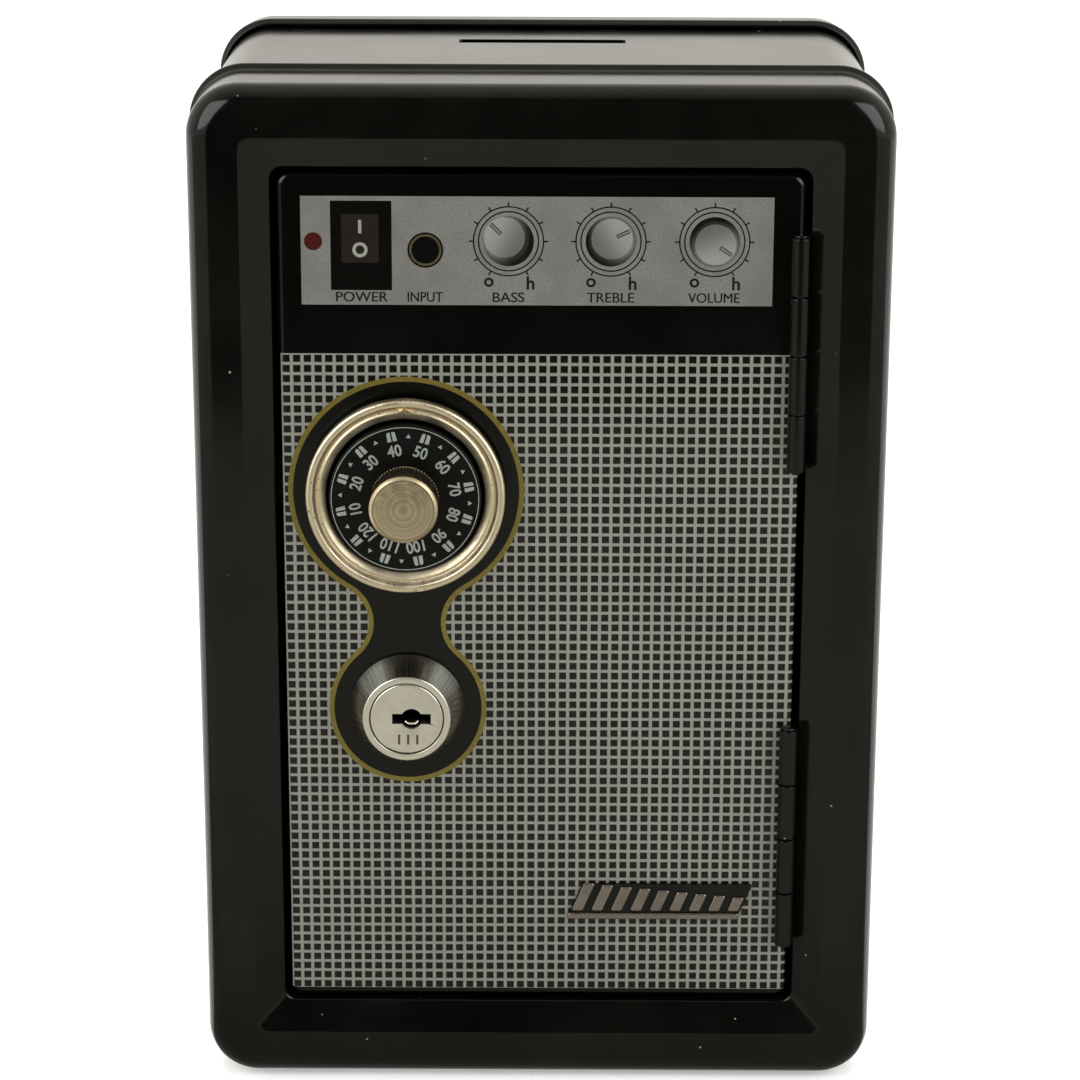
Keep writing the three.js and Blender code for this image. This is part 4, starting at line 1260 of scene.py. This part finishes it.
def make_lock():
    corners = [
        (6.6, 6.0, 0.1),
        (7.65, 6.0, 0.3),
        (10.2, 0.75, 0.3),
        (10.2, 0.1, 0.1),
        (8.0, 0.1, 0),
        (8.0, -7.8, 0.3),
        (5.6, -7.8, 0.2),
        (5.6, 0.8, 0),
        (6.6, 0.8, 0),
    ]
    cone = turned(height_profile(corners), LOCK_X, LOCK_Z)
    piece("lock_shell", cone, LOCK_CONE, "door", ["lock_housing"])
    face = DOOR_Y - PLUG_LOW.y
    rear = DOOR_Y - PLUG_HIGH.y
    corners = [
        (0, face, 0),
        (6.4, face, 0.28),
        (6.4, 1.0, 0),
        (5.4, 1.0, 0),
        (5.4, rear, 0.2),
        (1.6, rear, 0),
        (1.6, rear + 5, 0),
        (0, rear + 5, 0),
    ]
    plug = piece(
        "lock_core", turned(height_profile(corners), LOCK_X, LOCK_Z), LOCK_METAL, "key_plug",
        ["lock_plug"],
    )
    keyway_x = LOCK_X + KEYWAY_SHIFT
    slit = corners_of(
        keyway_x - KEYWAY_HALF_WIDTH, keyway_x + KEYWAY_HALF_WIDTH,
        LOCK_Z - KEYWAY_HALF_HEIGHT, LOCK_Z + KEYWAY_HALF_HEIGHT,
    )
    ends = (PLUG_LOW.y - 1, PLUG_LOW.y + KEYWAY_DEPTH)
    carve(plug, prism(slit, *ends), prism(circle(keyway_x, LOCK_Z, KEYWAY_RADIUS), *ends), bevel=0.06)
    half_moon = arc((keyway_x, LOCK_Z), 1.5, math.radians(205), math.radians(335), 24)
    wafer = plate(half_moon, PLUG_LOW.y + 0.8, PLUG_LOW.y + 1.5, edge=0.3)
    piece("lock_wafer", wafer, LOCK_METAL, "key_plug")
    # Three flat brown strokes on the plug's face: painted shade for three punched strokes.
    strokes = []
    for i in (-1, 0, 1):
        x = LOCK_X + 0.25 + i * 1.6
        outline = bar_shape((x, LOCK_Z - 4.75), (x, LOCK_Z - 2.9), 0.42)
        strokes.append(plate(outline, PLUG_LOW.y - 0.01, PLUG_LOW.y + 0.02))
    piece("lock_strokes", together(*strokes), STROKE_SHADE, "key_plug")


# ---- inner parts that keep their CAD shape ----

INNER_FINISH = [
    # The dial keeper's dark colour is painted shade.
    (SHADED_DULL_ZINC, ["dial_keeper"]),
    (STEEL, ["spring_washer", "dial_spindle", "spindle_clip"]),
    (ZINC, [
        "wheel_post", "post_nut", "wheel_collar", "wheel_washer_front", "wheel_washer_rear", "lock_nut",
        "drive_wheel", "tumbler_wheel_front", "tumbler_wheel_rear", "lock_cam", "cam_screw",
    ]),
]


def finish_inner_parts():
    for material, names in INNER_FINISH:
        for name in names:
            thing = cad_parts[name]
            thing.data.materials.clear()
            thing.data.materials.append(material)
            soften(thing, 0.12)
            weigh_normals(thing)


# ---- studio ----


def emitter(name, strength, tone=(1, 1, 1)):
    material = bpy.data.materials.new(name)
    material.use_nodes = True
    tree = material.node_tree
    tree.nodes.clear()
    glow = tree.nodes.new("ShaderNodeEmission")
    glow.inputs["Color"].default_value = (*tone, 1)
    glow.inputs["Strength"].default_value = strength
    out = tree.nodes.new("ShaderNodeOutputMaterial")
    tree.links.new(glow.outputs[0], out.inputs["Surface"])
    return material


def fade_out(material, start, end, strength, end_strength):
    """Lets an emitter's strength change from start to end along its own Y, in metres."""
    tree = material.node_tree
    place = tree.nodes.new("ShaderNodeTexCoord")
    split = tree.nodes.new("ShaderNodeSeparateXYZ")
    tree.links.new(place.outputs["Object"], split.inputs[0])
    shade = ranged(tree, split.outputs["Y"], start, end, strength, end_strength)
    tree.links.new(shade, tree.nodes["Emission"].inputs["Strength"])


def stage_plane(name, width, depth, place, turn, material):
    """A flat rectangle of the stage, its size in metres."""
    mesh = bpy.data.meshes.new(name)
    half_x, half_y = width / 2, depth / 2
    corners = [(-half_x, -half_y, 0), (half_x, -half_y, 0), (half_x, half_y, 0), (-half_x, half_y, 0)]
    mesh.from_pydata(corners, [], [(0, 1, 2, 3)])
    mesh.materials.append(material)
    thing = placed(name, mesh)
    thing.location = place
    thing.rotation_euler = turn
    return thing


def only_reflected(thing):
    """A studio card that shows in reflections and nowhere else."""
    thing.visible_camera = False
    thing.visible_diffuse = False
    thing.visible_transmission = False
    thing.visible_volume_scatter = False
    thing.visible_shadow = False


def make_stage():
    floor = bpy.data.materials.new("floor_white")
    floor.use_nodes = True
    shader = floor.node_tree.nodes["Principled BSDF"]
    shader.inputs["Base Color"].default_value = (0.9, 0.9, 0.89, 1)
    shader.inputs["Roughness"].default_value = 0.9
    shader.inputs["Specular IOR Level"].default_value = 0.1
    shader.inputs["Emission Color"].default_value = (0.96, 0.98, 1, 1)
    shader.inputs["Emission Strength"].default_value = 0.3
    stage_plane("floor", 12, 12, (0, 0, 0), (0, 0, 0), floor)
    dark = emitter("dark_card", 0.008)
    card = stage_plane("camera_side", 0.5, 0.9, (0, -0.52, 0.45), (math.radians(90), 0, 0), dark)
    only_reflected(card)
    dim = emitter("dim_floor", 0.55, (1, 0.97, 0.84))
    fade_out(dim, 0.73, 0.80, 0.55, 0.33)
    only_reflected(stage_plane("front_floor", 3.0, 1.64, (0, -0.85, 0.0004), (0, 0, 0), dim))


def make_world():
    """A pale room: bright behind and beside the object, dimmer overhead and on the camera's side."""
    world = bpy.data.worlds.new("studio")
    bpy.context.scene.world = world
    world.use_nodes = True
    tree = world.node_tree
    place = tree.nodes.new("ShaderNodeTexCoord")
    split = tree.nodes.new("ShaderNodeSeparateXYZ")
    tree.links.new(place.outputs["Generated"], split.inputs[0])
    shade = ranged(tree, split.outputs["Y"], -0.75, 0.1, 0.22, 1.0)
    overhead = ranged(tree, split.outputs["Z"], 0.5, 0.95, 1.0, 0.8)
    product = tree.nodes.new("ShaderNodeMath")
    product.operation = "MULTIPLY"
    tree.links.new(shade, product.inputs[0])
    tree.links.new(overhead, product.inputs[1])
    background = tree.nodes["Background"]
    background.inputs["Color"].default_value = (1.0, 0.975, 0.88, 1)
    tree.links.new(product.outputs[0], background.inputs["Strength"])


def softbox(name, azimuth, elevation, distance, size, power):
    """A square soft light aimed at the object's middle, azimuth from the camera's side."""
    light = bpy.data.lights.new(name, "AREA")
    light.shape = "SQUARE"
    light.size = size
    light.energy = power
    thing = placed(name, light)
    a, e = math.radians(azimuth), math.radians(elevation)
    toward = Vector((math.sin(a) * math.cos(e), -math.cos(a) * math.cos(e), math.sin(e)))
    target = Vector((0, 0, MIDDLE_Z * MM))
    thing.location = target + toward * distance
    thing.rotation_euler = toward.to_track_quat("Z", "Y").to_euler()
    return thing


def make_lights():
    softbox("key_left", -43, 26, 0.95, 0.7, 6)
    softbox("key_right", 43, 26, 0.95, 0.7, 6)
    above = softbox("above", 180, 75, 1.5, 1.2, 22)
    above.visible_glossy = False


CAMERA_PLACE = Vector((1.624, -590.3, 267.9))
CAMERA_LENS = 110.5
SENSOR_WIDTH = 36
CAMERA_ANGLES = (16.64, -0.166, 0.192)


def make_camera():
    """The photograph's view: a long lens above the object, looking a little down."""
    pitch, yaw, roll = (math.radians(angle) for angle in CAMERA_ANGLES)
    ahead = math.cos(pitch)
    forward = Vector((math.sin(yaw) * ahead, math.cos(yaw) * ahead, -math.sin(pitch)))
    level = Vector((math.cos(yaw), -math.sin(yaw), 0))
    upward = level.cross(forward)
    right = level * math.cos(roll) + upward * math.sin(roll)
    up = upward * math.cos(roll) - level * math.sin(roll)
    data = bpy.data.cameras.new("camera")
    data.sensor_width = SENSOR_WIDTH
    data.lens = CAMERA_LENS
    data.clip_start, data.clip_end = 0.01, 50
    camera = placed("camera", data)
    turn = Matrix((right, up, -forward)).transposed()
    camera.matrix_world = Matrix.Translation(CAMERA_PLACE * MM) @ turn.to_4x4()
    bpy.context.scene.camera = camera


bpy.context.scene.view_settings.view_transform = "Standard"
make_camera()
make_world()
make_lights()
make_stage()
make_body()
make_door()
make_bezel()
make_dial()
make_knob()
make_lock()
finish_inner_parts()
